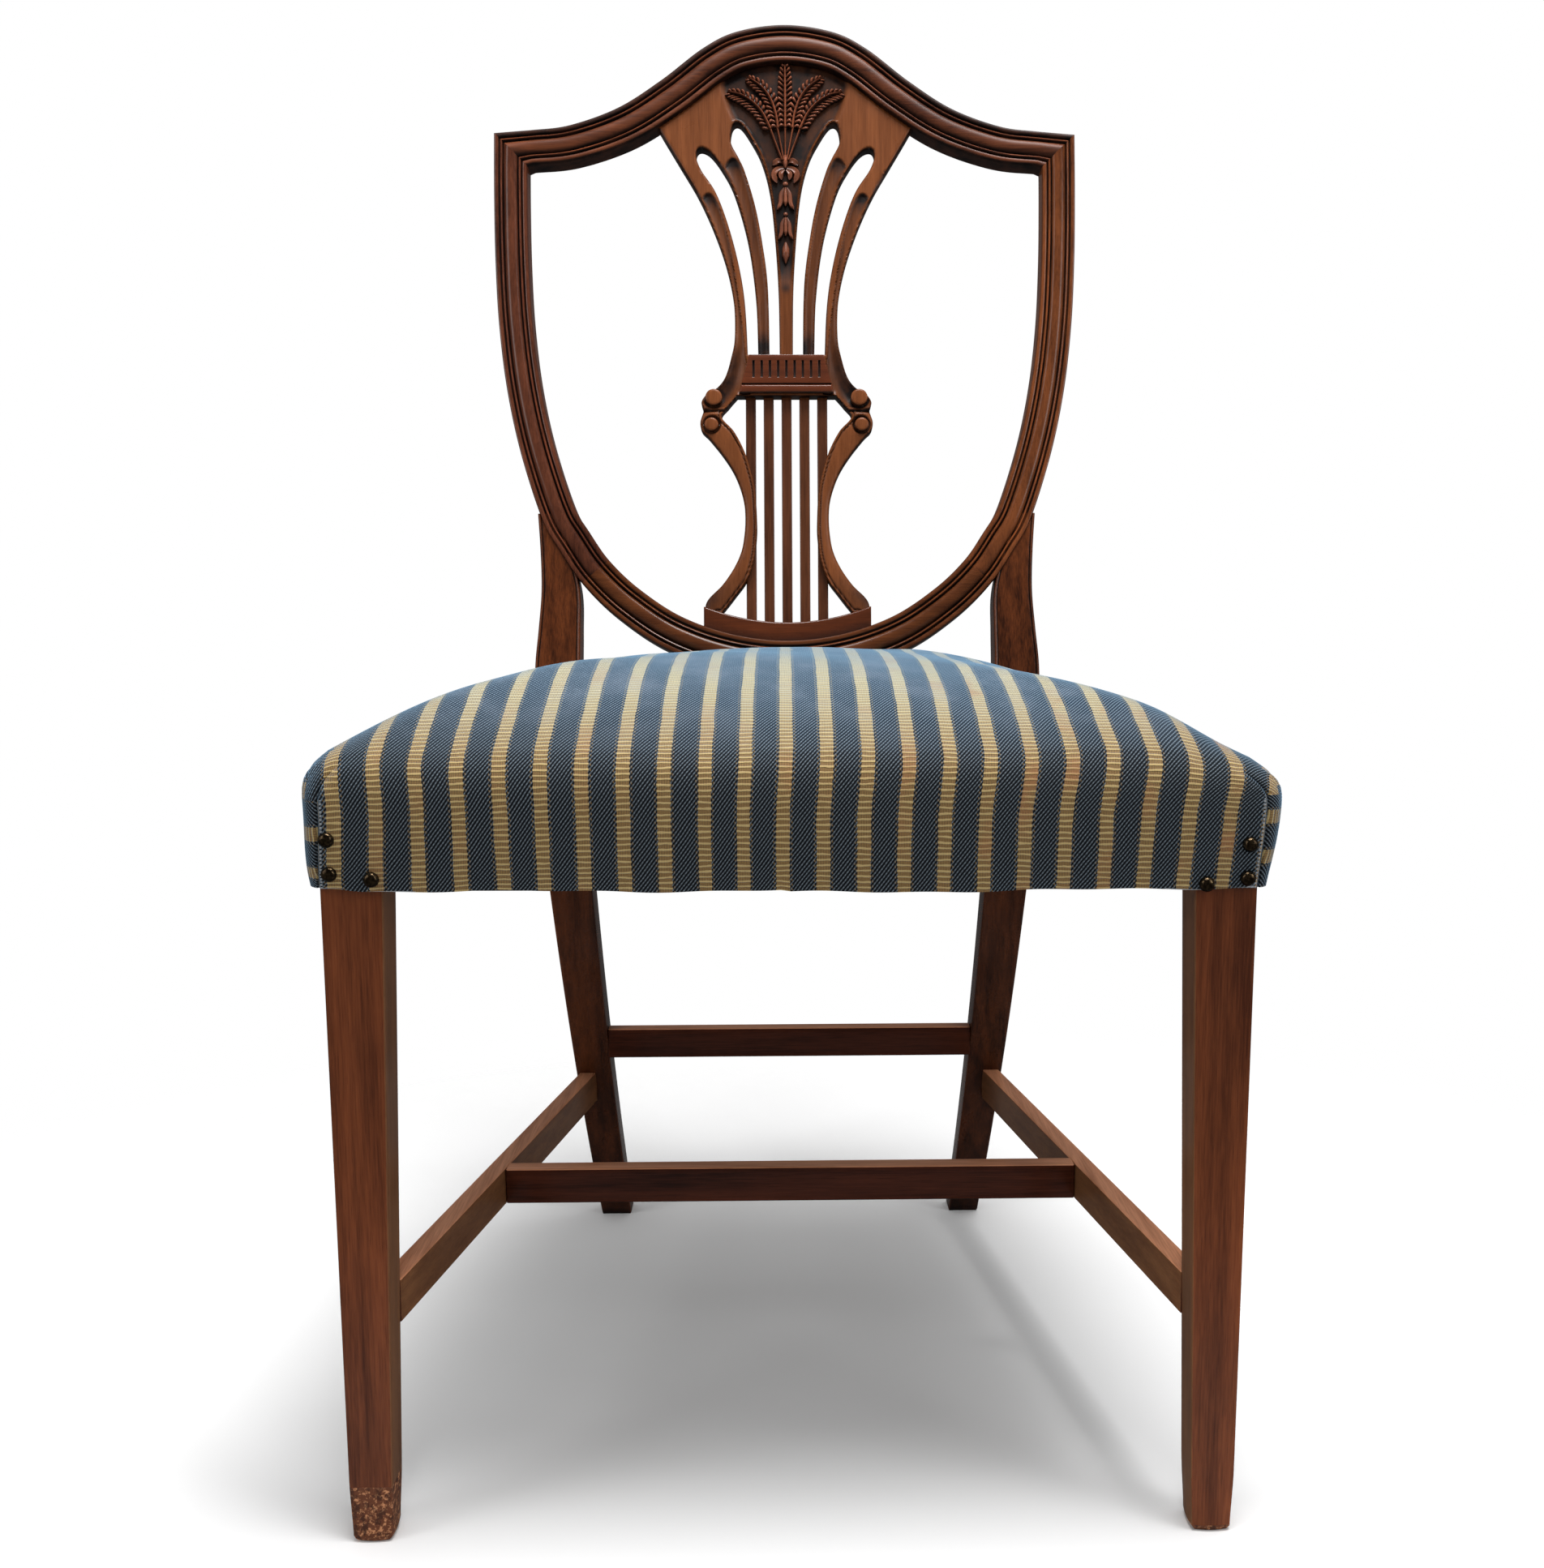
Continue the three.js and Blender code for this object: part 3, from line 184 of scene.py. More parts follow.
def added(operator, name=None, **settings):
    """What one of Blender's primitive operators has just added."""
    bpy.ops.object.select_all(action="DESELECT")
    operator(**settings)
    piece = bpy.context.object
    if name:
        piece.name = piece.data.name = name
    return piece


def bar(name, low, high):
    """A cube stretched between two corners of the drawing: the start of every straight piece."""
    low, high = placed([low, high])
    piece = added(bpy.ops.mesh.primitive_cube_add, name, size=1, location=(low + high) / 2)
    piece.scale = high - low
    bpy.ops.object.transform_apply(location=True, rotation=True, scale=True)
    return piece


ARRIS_CUTS = 5
ARRIS_ANGLE = 32


def softened(piece, radius):
    """Arrises rounded as a plane and years of polishing leave them."""
    in_edit(piece, everything, bpy.ops.mesh.subdivide, number_cuts=ARRIS_CUTS)
    bevelled(piece, radius, 3, ARRIS_ANGLE)


def joined(name, pieces):
    bpy.ops.object.select_all(action="DESELECT")
    for piece in pieces:
        piece.select_set(True)
    bpy.context.view_layer.objects.active = pieces[0]
    bpy.ops.object.join()
    whole = bpy.context.object
    whole.name = whole.data.name = name
    return whole


def mesh_piece(name, points, faces):
    mesh = bpy.data.meshes.new(name)
    mesh.from_pydata([tuple(p) for p in points], [], faces)
    mesh.validate()
    piece = bpy.data.objects.new(name, mesh)
    bpy.context.scene.collection.objects.link(piece)
    return piece


def ring_faces(count, around):
    """Four sided faces between rings of points that each run round the same way."""
    faces = []
    for i in range(count - 1):
        for j in range(around):
            a, b = i * around + j, i * around + (j + 1) % around
            faces.append((a, b, b + around, a + around))
    return faces


def skinned(name, rings):
    """A closed skin over rings of points."""
    rings = np.array(rings)
    count, around = rings.shape[:2]
    faces = ring_faces(count, around)
    faces.append(tuple(range(around)))
    faces.append(tuple((count - 1) * around + j for j in range(around)))
    piece = mesh_piece(name, rings.reshape(-1, 3), faces)
    turned_out(piece)
    return piece


def curve_through(points, per=12):
    """A smooth line through chosen points: the same Catmull-Rom line that the shield was drawn with."""
    points = np.array(points, float)
    ends = np.vstack([points[:1], points, points[-1:]])
    made = []
    for i in range(len(points) - 1):
        p0, p1, p2, p3 = ends[i:i + 4]
        for t in np.arange(per) / per:
            v0, v1 = (p2 - p0) / 2, (p3 - p1) / 2
            cubed, squared = 2 * p1 - 2 * p2 + v0 + v1, -3 * p1 + 3 * p2 - 2 * v0 - v1
            made.append(cubed * t**3 + squared * t**2 + v0 * t + p1)
    made.append(points[-1])
    return np.array(made)


TINY = 1e-9


def evenly(line, step, start=0.0, end=1.0):
    """Places along a line at an even step, with the way the line runs at each."""
    length = np.concatenate([[0], np.cumsum(np.linalg.norm(np.diff(line, axis=0), axis=1))])
    count = max(2, int(round((end - start) * length[-1] / step)) + 1)
    at = np.linspace(start, end, count) * length[-1]
    places = np.stack([np.interp(at, length, line[:, k]) for k in range(line.shape[1])], axis=1)
    ways = np.gradient(line, length + np.arange(len(length)) * TINY, axis=0)
    ways = np.stack([np.interp(at, length, ways[:, k]) for k in range(line.shape[1])], axis=1)
    return places, ways / np.linalg.norm(ways, axis=1)[:, None]


# %% [markdown]
# ## Marking hollows, undersides and edges
# Old polish is dark where dirt gathers and light where hands rub it, and the same marks also carry painted
# shade. A shader can't know which is which, so each piece's mesh is measured once: a vertex whose neighbours
# stand in front of it is in a hollow, darkened as dirt and painted shade; one whose neighbours fall away is
# on an edge, lightened as rubbing; a vertex that faces down is darkened as painted shade. These are stored as
# two attributes that the finishes read.

# %% Wear and painted shade attributes, and finishing
HOLLOW_GAIN = 5
RUBBED_GAIN = 1.9
SPREADS = 2
UNDERSIDE_SHADE = {"dirt": 0.9, "start": 0.1, "full": 0.6}


def vertex_values(mesh, what):
    values = np.zeros(len(mesh.vertices) * 3)
    mesh.vertices.foreach_get(what, values)
    return values.reshape(-1, 3)


def mark(mesh, name, values):
    """Stores one number at each vertex."""
    layer = mesh.attributes.get(name) or mesh.attributes.new(name, "FLOAT", "POINT")
    layer.data.foreach_set("value", np.ravel(values).astype(np.float32))


def mark_wear(piece, gain=1.0, rub=1.0, extra=0.0, worn=0.0):
    """Stores darkening for dirt and painted shade and lightening for rubbing, plus what a piece adds."""
    mesh = piece.data
    co, normal = vertex_values(mesh, "co"), vertex_values(mesh, "normal")
    edge = np.zeros(len(mesh.edges) * 2, int)
    mesh.edges.foreach_get("vertices", edge)
    a, b = edge.reshape(-1, 2).T
    way = co[b] - co[a]
    way /= np.maximum(np.linalg.norm(way, axis=1), TINY)[:, None]
    total, near = np.zeros(len(co)), np.zeros(len(co))
    np.add.at(total, a, (normal[a] * way).sum(1))
    np.add.at(total, b, -(normal[b] * way).sum(1))
    np.add.at(near, a, 1)
    np.add.at(near, b, 1)
    bend = total / np.maximum(near, 1)
    for _ in range(SPREADS):
        spread = bend.copy()
        np.add.at(spread, a, bend[b])
        np.add.at(spread, b, bend[a])
        bend = spread / (near + 1)
    hollow = np.clip(np.clip(bend * HOLLOW_GAIN * gain, 0, 1) + extra, 0, 1)
    # Faces that look down are darkened as painted shade, in the same attribute as the hollows.
    below = smooth((-normal[:, 2] - UNDERSIDE_SHADE["start"]) / UNDERSIDE_SHADE["full"])
    mark(mesh, "hollow", np.clip(hollow + UNDERSIDE_SHADE["dirt"] * below, 0, 1))
    mark(mesh, "rubbed", np.clip(np.clip(-bend * RUBBED_GAIN * gain * rub, 0, 1) + worn, 0, 1))


GRAIN_AXES = {"x": (1, 2, 0), "y": (2, 0, 1), "z": (0, 1, 2)}
LOG_SHIFT = np.array([0.137, 0.071, 0.053])
LOGS = 17


def mark_grain(piece, run, leaning=False):
    """Stores where each vertex is in the log: the third number runs along the grain."""
    mesh = piece.data
    co = vertex_values(mesh, "co")
    if leaning:
        co = co @ np.array(Matrix.Rotation(LEAN, 3, "X")).T
    values = co[:, GRAIN_AXES[run]] + LOG_SHIFT * (sum(map(ord, piece.name)) % LOGS)
    layer = mesh.attributes.get("grain") or mesh.attributes.new("grain", "FLOAT_VECTOR", "POINT")
    layer.data.foreach_set("vector", values.astype(np.float32).ravel())


SMOOTH_ANGLE = 35


def shaded(piece, degrees=SMOOTH_ANGLE):
    only(piece)
    bpy.ops.object.shade_smooth_by_angle(angle=math.radians(degrees))


def finished(piece, finish, slot_name, nodes=(), run=None, leaning=False, angle=SMOOTH_ANGLE, wear=True,
             **wear_settings):
    """Smooth shading, wear, grain, finish, body and the CAD nodes it stands for. slot_name is not used."""
    only(piece)
    bpy.ops.object.transform_apply(location=True, rotation=True, scale=True)
    shaded(piece, angle)
    # The wear marks also hold painted shade in hollows and under pieces.
    if wear:
        mark_wear(piece, **wear_settings)
    if run:
        mark_grain(piece, run, leaning)
    piece.data.materials.clear()
    piece.data.materials.append(FINISHES[finish])
    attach(piece, "root")
    if nodes:
        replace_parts(piece, *nodes)
    print(piece.name, len(piece.data.polygons), "faces")


FACING = 0.7


def paled(piece):
    """Tops get a painted light finish, sides facing the middle a painted reflection finish."""
    for finish in ("top_mahogany", "inner_mahogany"):
        piece.data.materials.append(FINISHES[finish])
    for face in piece.data.polygons:
        inward = -face.normal.x * math.copysign(1, face.center.x)
        face.material_index = 1 if face.normal.z > FACING else 2 if inward > FACING else 0


# %% [markdown]
# ## Finishes
# A finish is a shader. The effect that most of them share, the figure of mahogany, is a node group. It gives
# out a colour, a height and a roughness only, and the surface shader stays in the finish itself.

# %% Node helpers


class Tree:
    """A short way to add nodes and links to a material or a group."""

    def __init__(self, tree):
        self.tree = tree

    def add(self, kind, settings=None, **inputs):
        node = self.tree.nodes.new("ShaderNode" + kind)
        for name, value in (settings or {}).items():
            setattr(node, name, value)
        for name, value in inputs.items():
            key = int(name[1:]) if name[0] == "i" and name[1:].isdigit() else name.replace("_", " ")
            self.give(node.inputs[key], value)
        return node

    def give(self, socket, value):
        if isinstance(value, bpy.types.NodeSocket):
            self.tree.links.new(value, socket)
        else:
            socket.default_value = value

    def look(self, **inputs):
        """Sets inputs of the surface shader, to plain values or to what other nodes give out."""
        for name, value in inputs.items():
            self.give(self.tree.nodes["Principled BSDF"].inputs[name.replace("_", " ")], value)

    def math(self, operation, a, b=0.0, clamp=False):
        return self.add("Math", {"operation": operation, "use_clamp": clamp}, i0=a, i1=b).outputs[0]

    def times(self, a, b, clamp=False):
        return self.math("MULTIPLY", a, b, clamp)

    def plus(self, a, b, clamp=False):
        return self.math("ADD", a, b, clamp)

    def minus(self, a, b):
        return self.math("SUBTRACT", a, b)

    def wave(self, place, pitch):
        return self.math("SINE", self.times(place, 2 * math.pi / pitch))

    def blend(self, share, a, b, mode="MIX"):
        node = self.add("Mix", {"data_type": "RGBA", "blend_type": mode})
        for place, value in ((0, share), (6, a), (7, b)):
            self.give(node.inputs[place], value)
        return node.outputs[2]

    def scaled(self, vector, scale):
        return self.add("VectorMath", {"operation": "MULTIPLY"}, i0=vector, i1=scale).outputs[0]

    def ramp(self, value, low, high):
        """0 at the low value, 1 at the high one, and smooth between."""
        settings = {"interpolation_type": "SMOOTHSTEP"}
        return self.add("MapRange", settings, Value=value, From_Min=low, From_Max=high).outputs[0]

    def noise(self, vector, scale, detail=3.0, rough=0.5):
        return self.add("TexNoise", Vector=vector, Scale=scale, Detail=detail, Roughness=rough).outputs[0]

    def bump(self, height, strength, distance):
        return self.add("Bump", Strength=strength, Distance=distance, Height=height).outputs[0]

    def attribute(self, name, output="Fac"):
        return self.add("Attribute", {"attribute_name": name}).outputs[output]

    def place(self, scale=(1, 1, 1)):
        return self.scaled(self.add("TexCoord").outputs["Object"], scale)

    def on_cloth(self):
        """The place on the cloth's own UV map in metres, and its two parts."""
        uv = self.add("UVMap", {"uv_map": "cloth"}).outputs[0]
        return uv, *self.add("SeparateXYZ", Vector=uv).outputs[:2]


def colour(red, green, blue):
    """A colour as it looks on a screen, 0 to 255, turned into light."""
    values = [c / 255 for c in (red, green, blue)]
    return (*[c / 12.92 if c <= 0.04045 else ((c + 0.055) / 1.055) ** 2.4 for c in values], 1.0)


FINISHES = {}


def new_finish(name):
    material = FINISHES[name] = bpy.data.materials.new("look_" + name)
    material.use_nodes = True
    return Tree(material.node_tree)


# %% Mahogany figure
MAHOGANY = bpy.data.node_groups.new("mahogany_figure", "ShaderNodeTree")
for way, sockets in (
    ("INPUT", {"Place": "Vector", "Light": "Color", "Dark": "Color", "Hollow": "Float", "Rubbed": "Float",
               "Dirt": "Color", "Streak": "Float", "Contrast": "Float"}),
    ("OUTPUT", {"Color": "Color", "Height": "Float", "Roughness": "Float"}),
):
    for label, kind in sockets.items():
        MAHOGANY.interface.new_socket(name=label, in_out=way, socket_type="NodeSocket" + kind)
tree = Tree(MAHOGANY)
given = MAHOGANY.nodes.new("NodeGroupInput").outputs
gives = MAHOGANY.nodes.new("NodeGroupOutput").inputs
# How much shorter each pattern is along the grain than across it.
FIBRE, BROAD, PORE = (1, 1, 0.045), (1, 1, 0.25), (1, 1, 0.03)
stretched = tree.scaled(given["Place"], FIBRE)
fine = tree.noise(stretched, 900, 4, 0.6)
band = tree.noise(stretched, 130, 3, 0.55)
broad = tree.noise(tree.scaled(given["Place"], BROAD), 14, 3, 0.5)
pore = tree.ramp(tree.noise(tree.scaled(given["Place"], PORE), 1900, 2, 0.5), 0.6, 0.7)
figure = tree.plus(tree.times(fine, 0.45), tree.times(band, 0.55))
figure = tree.plus(figure, tree.times(tree.minus(broad, 0.5), 0.6))
figure = tree.plus(tree.times(tree.minus(figure, 0.5), given["Contrast"]), given["Streak"], clamp=True)
wood = tree.blend(figure, given["Dark"], given["Light"])
wood = tree.blend(tree.times(pore, 0.45), wood, given["Dark"])
# Dark colour: dirt and painted shade. Lightening: rubbing and painted highlights.
patchy = tree.noise(given["Place"], 60, 3, 0.6)
dirt_and_shade_share = tree.times(given["Hollow"], tree.plus(patchy, 0.45), clamp=True)
wood = tree.blend(dirt_and_shade_share, wood, given["Dirt"])
worn = tree.times(given["Rubbed"], tree.ramp(patchy, 0.2, 0.6), clamp=True)
pale = tree.blend(1.0, wood, (2.3, 2.05, 1.85, 1), "MULTIPLY")
tree.give(gives["Color"], tree.blend(tree.times(worn, 0.6), wood, pale))
tree.give(gives["Height"], tree.minus(tree.times(fine, 0.3), tree.times(pore, 0.5)))
tree.give(gives["Roughness"], tree.plus(tree.times(patchy, 0.1), tree.times(dirt_and_shade_share, 0.12)))
print("figure group:", len(MAHOGANY.nodes), "nodes")


# %% Polished mahogany finishes


# The dirt colour is used for both dirt and painted shade.
def mahogany_finish(name, light, dark, dirt=(18, 10, 8), streak=0.5, contrast=2.6, gloss=0.18, coat=0.25,
                    specular=0.28):
    tree = new_finish(name)
    group = tree.add("Group", {"node_tree": MAHOGANY})
    for label, value in (
        ("Place", tree.attribute("grain", "Vector")), ("Light", colour(*light)), ("Dark", colour(*dark)),
        ("Streak", streak), ("Dirt", colour(*dirt)), ("Hollow", tree.attribute("hollow")),
        ("Rubbed", tree.attribute("rubbed")), ("Contrast", contrast),
    ):
        tree.give(group.inputs[label], value)
    tree.look(Base_Color=group.outputs["Color"], Roughness=tree.plus(group.outputs["Roughness"], gloss),
              Normal=tree.bump(group.outputs["Height"], 0.12, 0.0003), Coat_Weight=coat, Coat_Roughness=0.12,
              Specular_IOR_Level=specular)


for name, light, dark, settings in (
    ("leg", (124, 66, 36), (66, 31, 16), {"coat": 0.16}),
    # low: a darker copy, painted shade for the stretchers under the seat.
    ("low", (78, 37, 22), (36, 16, 10), {"streak": 0.45, "contrast": 2.2, "coat": 0.06, "specular": 0.12}),
    # top and inner: lighter copies, painted light on faces that look up, painted reflection on inner sides.
    ("top", (228, 162, 124), (156, 98, 66), {"contrast": 2.4, "gloss": 0.3, "coat": 0.1}),
    ("inner", (124, 84, 54), (78, 47, 29), {"contrast": 2.0, "gloss": 0.3, "coat": 0.02, "specular": 0.12}),
    ("crest", (104, 57, 35), (48, 23, 15), {"gloss": 0.3, "coat": 0.0, "specular": 0.15}),
    # left and right: the stiles, painted darker on the left as in shade and lighter on the right as lit.
    ("left", (98, 54, 36), (48, 23, 15), {"gloss": 0.14, "coat": 0.12, "specular": 0.24}),
    ("right", (112, 62, 33), (54, 26, 13), {"gloss": 0.14, "coat": 0.12, "specular": 0.24}),
    ("bottom", (94, 52, 27), (48, 22, 11), {"gloss": 0.16, "coat": 0.08, "specular": 0.2}),
    ("post", (112, 58, 28), (46, 21, 10), {"streak": 0.45, "coat": 0.12, "specular": 0.2}),
    ("splat", (131, 76, 43), (82, 43, 21),
     {"dirt": (20, 10, 8), "contrast": 2.0, "gloss": 0.24, "coat": 0.03, "specular": 0.16}),
    ("carved", (128, 76, 54), (76, 40, 28),
     {"dirt": (14, 7, 6), "contrast": 2.0, "gloss": 0.22, "coat": 0.08, "specular": 0.2}),
    ("tablet", (104, 52, 29), (64, 30, 17), {"contrast": 2.0, "coat": 0.12}),
    ("shoe", (96, 47, 23), (52, 23, 11), {"contrast": 2.0, "coat": 0.12}),
    ("string", (98, 56, 34), (50, 26, 15), {"coat": 0.1}),
):
    mahogany_finish(name + "_mahogany", light, dark, **settings)

# Wood whose polish has been knocked off in flakes.
tree = new_finish("scuffed_mahogany")
place = tree.attribute("grain", "Vector")
flakes = tree.noise(place, 420, 4, 0.7)
wood = tree.blend(tree.ramp(flakes, 0.5, 0.64), colour(98, 54, 32), colour(186, 128, 88))
chips = tree.ramp(tree.noise(tree.scaled(place, (1, 1, 0.7)), 250, 4, 0.65), 0.5, 0.58)
wood = tree.blend(tree.times(chips, 0.7), wood, colour(52, 28, 18))
tree.look(Base_Color=wood, Roughness=0.55, Specular_IOR_Level=0.2, Normal=tree.bump(flakes, 0.7, 0.0008))

# %% Beech, steel, brass, jute and hair
tree = new_finish("frame_beech")
fleck = tree.ramp(tree.noise(tree.place((1, 0.06, 1)), 700, 3), 0.55, 0.75)
tone = tree.noise(tree.place(), 22, 3)
beech = tree.blend(tone, colour(168, 130, 88), colour(196, 160, 116))
tree.look(Base_Color=tree.blend(fleck, beech, colour(132, 94, 58)),
          Roughness=tree.plus(tree.times(tone, 0.2), 0.5))

tree = new_finish("screw_steel")
rust = tree.ramp(tree.noise(tree.place(), 900, 4), 0.45, 0.65)
tree.look(Base_Color=tree.blend(rust, colour(150, 148, 144), colour(104, 78, 58)),
          Roughness=tree.plus(tree.times(rust, 0.4), 0.35), Metallic=1.0)

tree = new_finish("nail_brass")
spot = tree.noise(tree.place(), 700, 4, 0.6)
brass = tree.blend(tree.ramp(spot, 0.4, 0.65), colour(52, 42, 32), colour(96, 80, 58))
tree.look(Base_Color=tree.blend(tree.attribute("hollow"), brass, colour(16, 12, 9)),
          Roughness=tree.plus(tree.times(spot, 0.18), 0.14), Metallic=1.0,
          Normal=tree.bump(spot, 0.3, 0.0005))


def woven_finish(name, light, dark, pitch):
    """A plain weave on the cloth's own measure."""
    tree = new_finish(name)
    uv, x, y = tree.on_cloth()
    weave = tree.ramp(tree.times(tree.wave(x, pitch), tree.wave(y, pitch)), -0.5, 0.5)
    tone = tree.plus(tree.times(weave, 0.6), tree.times(tree.noise(uv, 40, 4), 0.5), clamp=True)
    tree.look(Base_Color=tree.blend(tone, colour(*dark), colour(*light)), Roughness=0.9,
              Normal=tree.bump(weave, 0.6, 0.0004))


woven_finish("webbing_jute", (178, 148, 100), (108, 84, 52), 0.0024)
woven_finish("hessian_jute", (170, 142, 98), (98, 76, 48), 0.0018)
woven_finish("black_cloth", (44, 44, 46), (18, 18, 20), 0.0009)

tree = new_finish("stuffing_hair")
strand = tree.noise(tree.place((1, 0.2, 1)), 500, 5, 0.7)
tree.look(Base_Color=tree.blend(tree.ramp(strand, 0.3, 0.7), colour(38, 30, 24), colour(96, 80, 62)),
          Roughness=0.95, Normal=tree.bump(strand, 0.8, 0.002))

CAD_FINISHES = {"seat_rail": "frame_beech", "corner_block": "frame_beech", "block_screw": "screw_steel"}
for part, finish in CAD_FINISHES.items():
    for name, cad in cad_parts.items():
        if part in name:
            for place in cad.material_slots:
                place.material = FINISHES[finish]
print("finishes:", len(FINISHES))

# %% [markdown]
# ## Front legs
# A front leg is square at the seat frame and tapers on its two inner faces only, so the outer corner stays
# upright. It starts as a cube at full size. A slice at the seat's underside keeps the head square, and the
# bottom face is then scaled towards the outer corner.

# %% Front legs
FRONT_HALF = 250.0
SEAT_UNDER = 376.0
RAIL_TOP = 436.0
FRONT_HEAD = (33.2, 28.5)
FRONT_FOOT = (23.4, 22.3)
FRONT_ARRIS = 1.1
FOOT = {"round": 38.0, "amount": 1.6, "worn": 3.0, "drawn": 0.05}
FOOT_CUTS = (12, 24)
# The left foot is scuffed to this height, and the right one only where it meets the floor.
SCUFFED = {"left": 34.0, "right": 4.0}
SIDES = (("left", -1), ("right", 1))


def rounded_foot(piece, side):
    """The foot's arrises, worn round by the floor: corners drawn in towards the middle of the leg."""
    middle_x, middle_y = side * (FRONT_HALF - FRONT_FOOT[0] / 2), FRONT_FOOT[1] / 2
    for vertex in piece.data.vertices:
        x, y, z = drawing_place(vertex.co)
        if z < FOOT["round"]:
            x, y = x - middle_x, y - middle_y
            pull = FOOT["amount"] * float(smooth(1 - z / FOOT["round"])) / max(math.hypot(x, y), TINY)
            square = min(abs(x), abs(y)) / max(abs(x), abs(y), TINY)
            share = pull * square**2 + FOOT["drawn"] * max(FOOT["worn"] - z, 0)
            vertex.co.x -= x * share * MM
            vertex.co.y -= y * share * MM


for name, side in SIDES:
    xs = sorted((side * FRONT_HALF, side * (FRONT_HALF - FRONT_HEAD[0])))
    leg = bar("front_leg_" + name + "_wood", (xs[0], 0, 0), (xs[1], FRONT_HEAD[1], RAIL_TOP))
    sliced(leg, (0, 0, SEAT_UNDER), UP)
    taper = (FRONT_FOOT[0] / FRONT_HEAD[0], FRONT_FOOT[1] / FRONT_HEAD[1], 1)
    corner = placed((side * FRONT_HALF, 0, 0))[0]
    in_edit(leg, lambda x, y, z: z < 1, bpy.ops.transform.resize, value=taper, center_override=corner)
    for level in (*FOOT_CUTS, FOOT["round"], SCUFFED[name]):
        sliced(leg, (0, 0, level), UP)
    softened(leg, FRONT_ARRIS)
    rounded_foot(leg, side)
    finished(leg, "leg_mahogany", "mahogany", ["front_leg_" + name], run="z")
    # Faces that look up or inward get painted light and painted reflection finishes.
    paled(leg)
    leg.data.materials.append(FINISHES["scuffed_mahogany"])
    for face in leg.data.polygons:
        if face.center.z < SCUFFED[name] * MM:
            face.material_index = len(leg.data.materials) - 1

# %% [markdown]
# ## The moulded shield
# The shield is one moulding that runs up each side, over the crest and under the splat, mitred at its top
# corners. A moulding is a section carried along a line, so it is drawn as rings of points: the section has a
# broad ridge in the middle, a sunk groove and a fine bead on both sides of it, and a flat band at each edge.

# %% Shield lines
SHIELD_HALF = 230.0
SHIELD_FOOT = 27.0
SHIELD_CORNER = 458.5
CREST_RISE = 87.0
MOULDING_SIDE = 26.5
MOULDING_CENTRE = 29.5
MOULDING_STEP = 3.0
JOINT_SHARE = 0.334
side_shares = [
    (1, 1), (1, 0.885), (0.996, 0.767), (0.984, 0.648), (0.957, 0.528), (0.91, 0.41),
    (0.838, 0.29), (0.778, 0.233), (0.701, 0.173), (0.584, 0.112), (0.419, 0.053), (0.217, 0.014),
]
crest_shares = [
    (0, 1), (0.165, 0.937), (0.283, 0.782), (0.426, 0.489), (0.574, 0.236), (0.739, 0.075), (0.87, 0.029),
    (1, 0),
]
side_points = [(x * SHIELD_HALF, mix(SHIELD_FOOT, SHIELD_CORNER, v)) for x, v in side_shares]
crest_points = [(x * SHIELD_HALF, SHIELD_CORNER + v * CREST_RISE) for x, v in crest_shares]
shield_line = curve_through(side_points + [(0, SHIELD_FOOT)] + [(-x, v) for x, v in side_points[::-1]], 24)
crest_line = curve_through([(-x, v) for x, v in crest_points[:0:-1]] + crest_points, 24)

# Across the moulding from its outer edge, and how deep the face is there in millimetres.
section = np.array([
    (0.0, 19.0), (0.0, 5.2), (0.01, 2.4), (0.03, 1.5), (0.06, 1.15), (0.105, 1.1), (0.135, 1.5),
    (0.155, 3.0), (0.175, 3.2), (0.192, 2.2), (0.205, 1.4), (0.226, 1.0), (0.247, 1.4), (0.26, 2.4),
    (0.28, 3.2), (0.3, 2.7), (0.32, 1.7), (0.36, 0.85), (0.41, 0.3), (0.46, 0.05), (0.5, 0.0),
    (0.54, 0.05), (0.59, 0.3), (0.64, 0.85), (0.68, 1.7), (0.7, 2.7), (0.72, 3.2), (0.74, 2.4),
    (0.753, 1.3), (0.774, 0.9), (0.795, 1.3), (0.808, 2.2), (0.825, 3.2), (0.845, 3.0), (0.865, 1.6),
    (0.895, 1.15), (0.94, 1.15), (0.97, 1.5), (0.99, 2.4), (1.0, 5.2), (1.0, 19.0), (0.96, 20.0),
    (0.04, 20.0),
])
FACE_DEEP = 4.0
GROOVE = (1.9, 1.2)
OUTER_BAND = 0.15
BEADS_AT = (0.226, 0.774)
BEAD_HALF = 0.03
print("moulding section:", len(section), "points")


def moulding_width(across):
    return mix(MOULDING_CENTRE, MOULDING_SIDE, (across / SHIELD_HALF) ** 2)


def moulding_rings(line, start, end):
    rings = []
    for (u, v), (along_u, along_v) in zip(*evenly(line, MOULDING_STEP, start, end)):
        reach = section[:, 0] * moulding_width(u)
        rings.append(in_back(u + along_v * reach, section[:, 1], v - along_u * reach))
    return rings


def mitre_ring(side):
    reach = section[:, 0] * MOULDING_SIDE
    return in_back(side * (SHIELD_HALF - reach), section[:, 1], SHIELD_CORNER - reach)


def section_wear(rings, outer=0.0):
    """Darkens the grooves and, if asked, the outer band; lightens two beads."""
    on_face = section[:, 1] < FACE_DEEP
    # Grooves darken as old polish and painted shade, the outer band as painted shade.
    deep = np.clip((section[:, 1] - GROOVE[0]) / GROOVE[1], 0, 1) * on_face
    from_bead = np.minimum(*(np.abs(section[:, 0] - at) for at in BEADS_AT))
    # The beads lighten as rubbing and as a painted highlight.
    rubbed = np.clip(1.2 - from_bead / BEAD_HALF, 0, 1) * on_face
    extra = np.maximum(deep, outer * (section[:, 0] < OUTER_BAND))
    return {"extra": np.tile(extra, len(rings)), "worn": np.tile(rubbed, len(rings))}


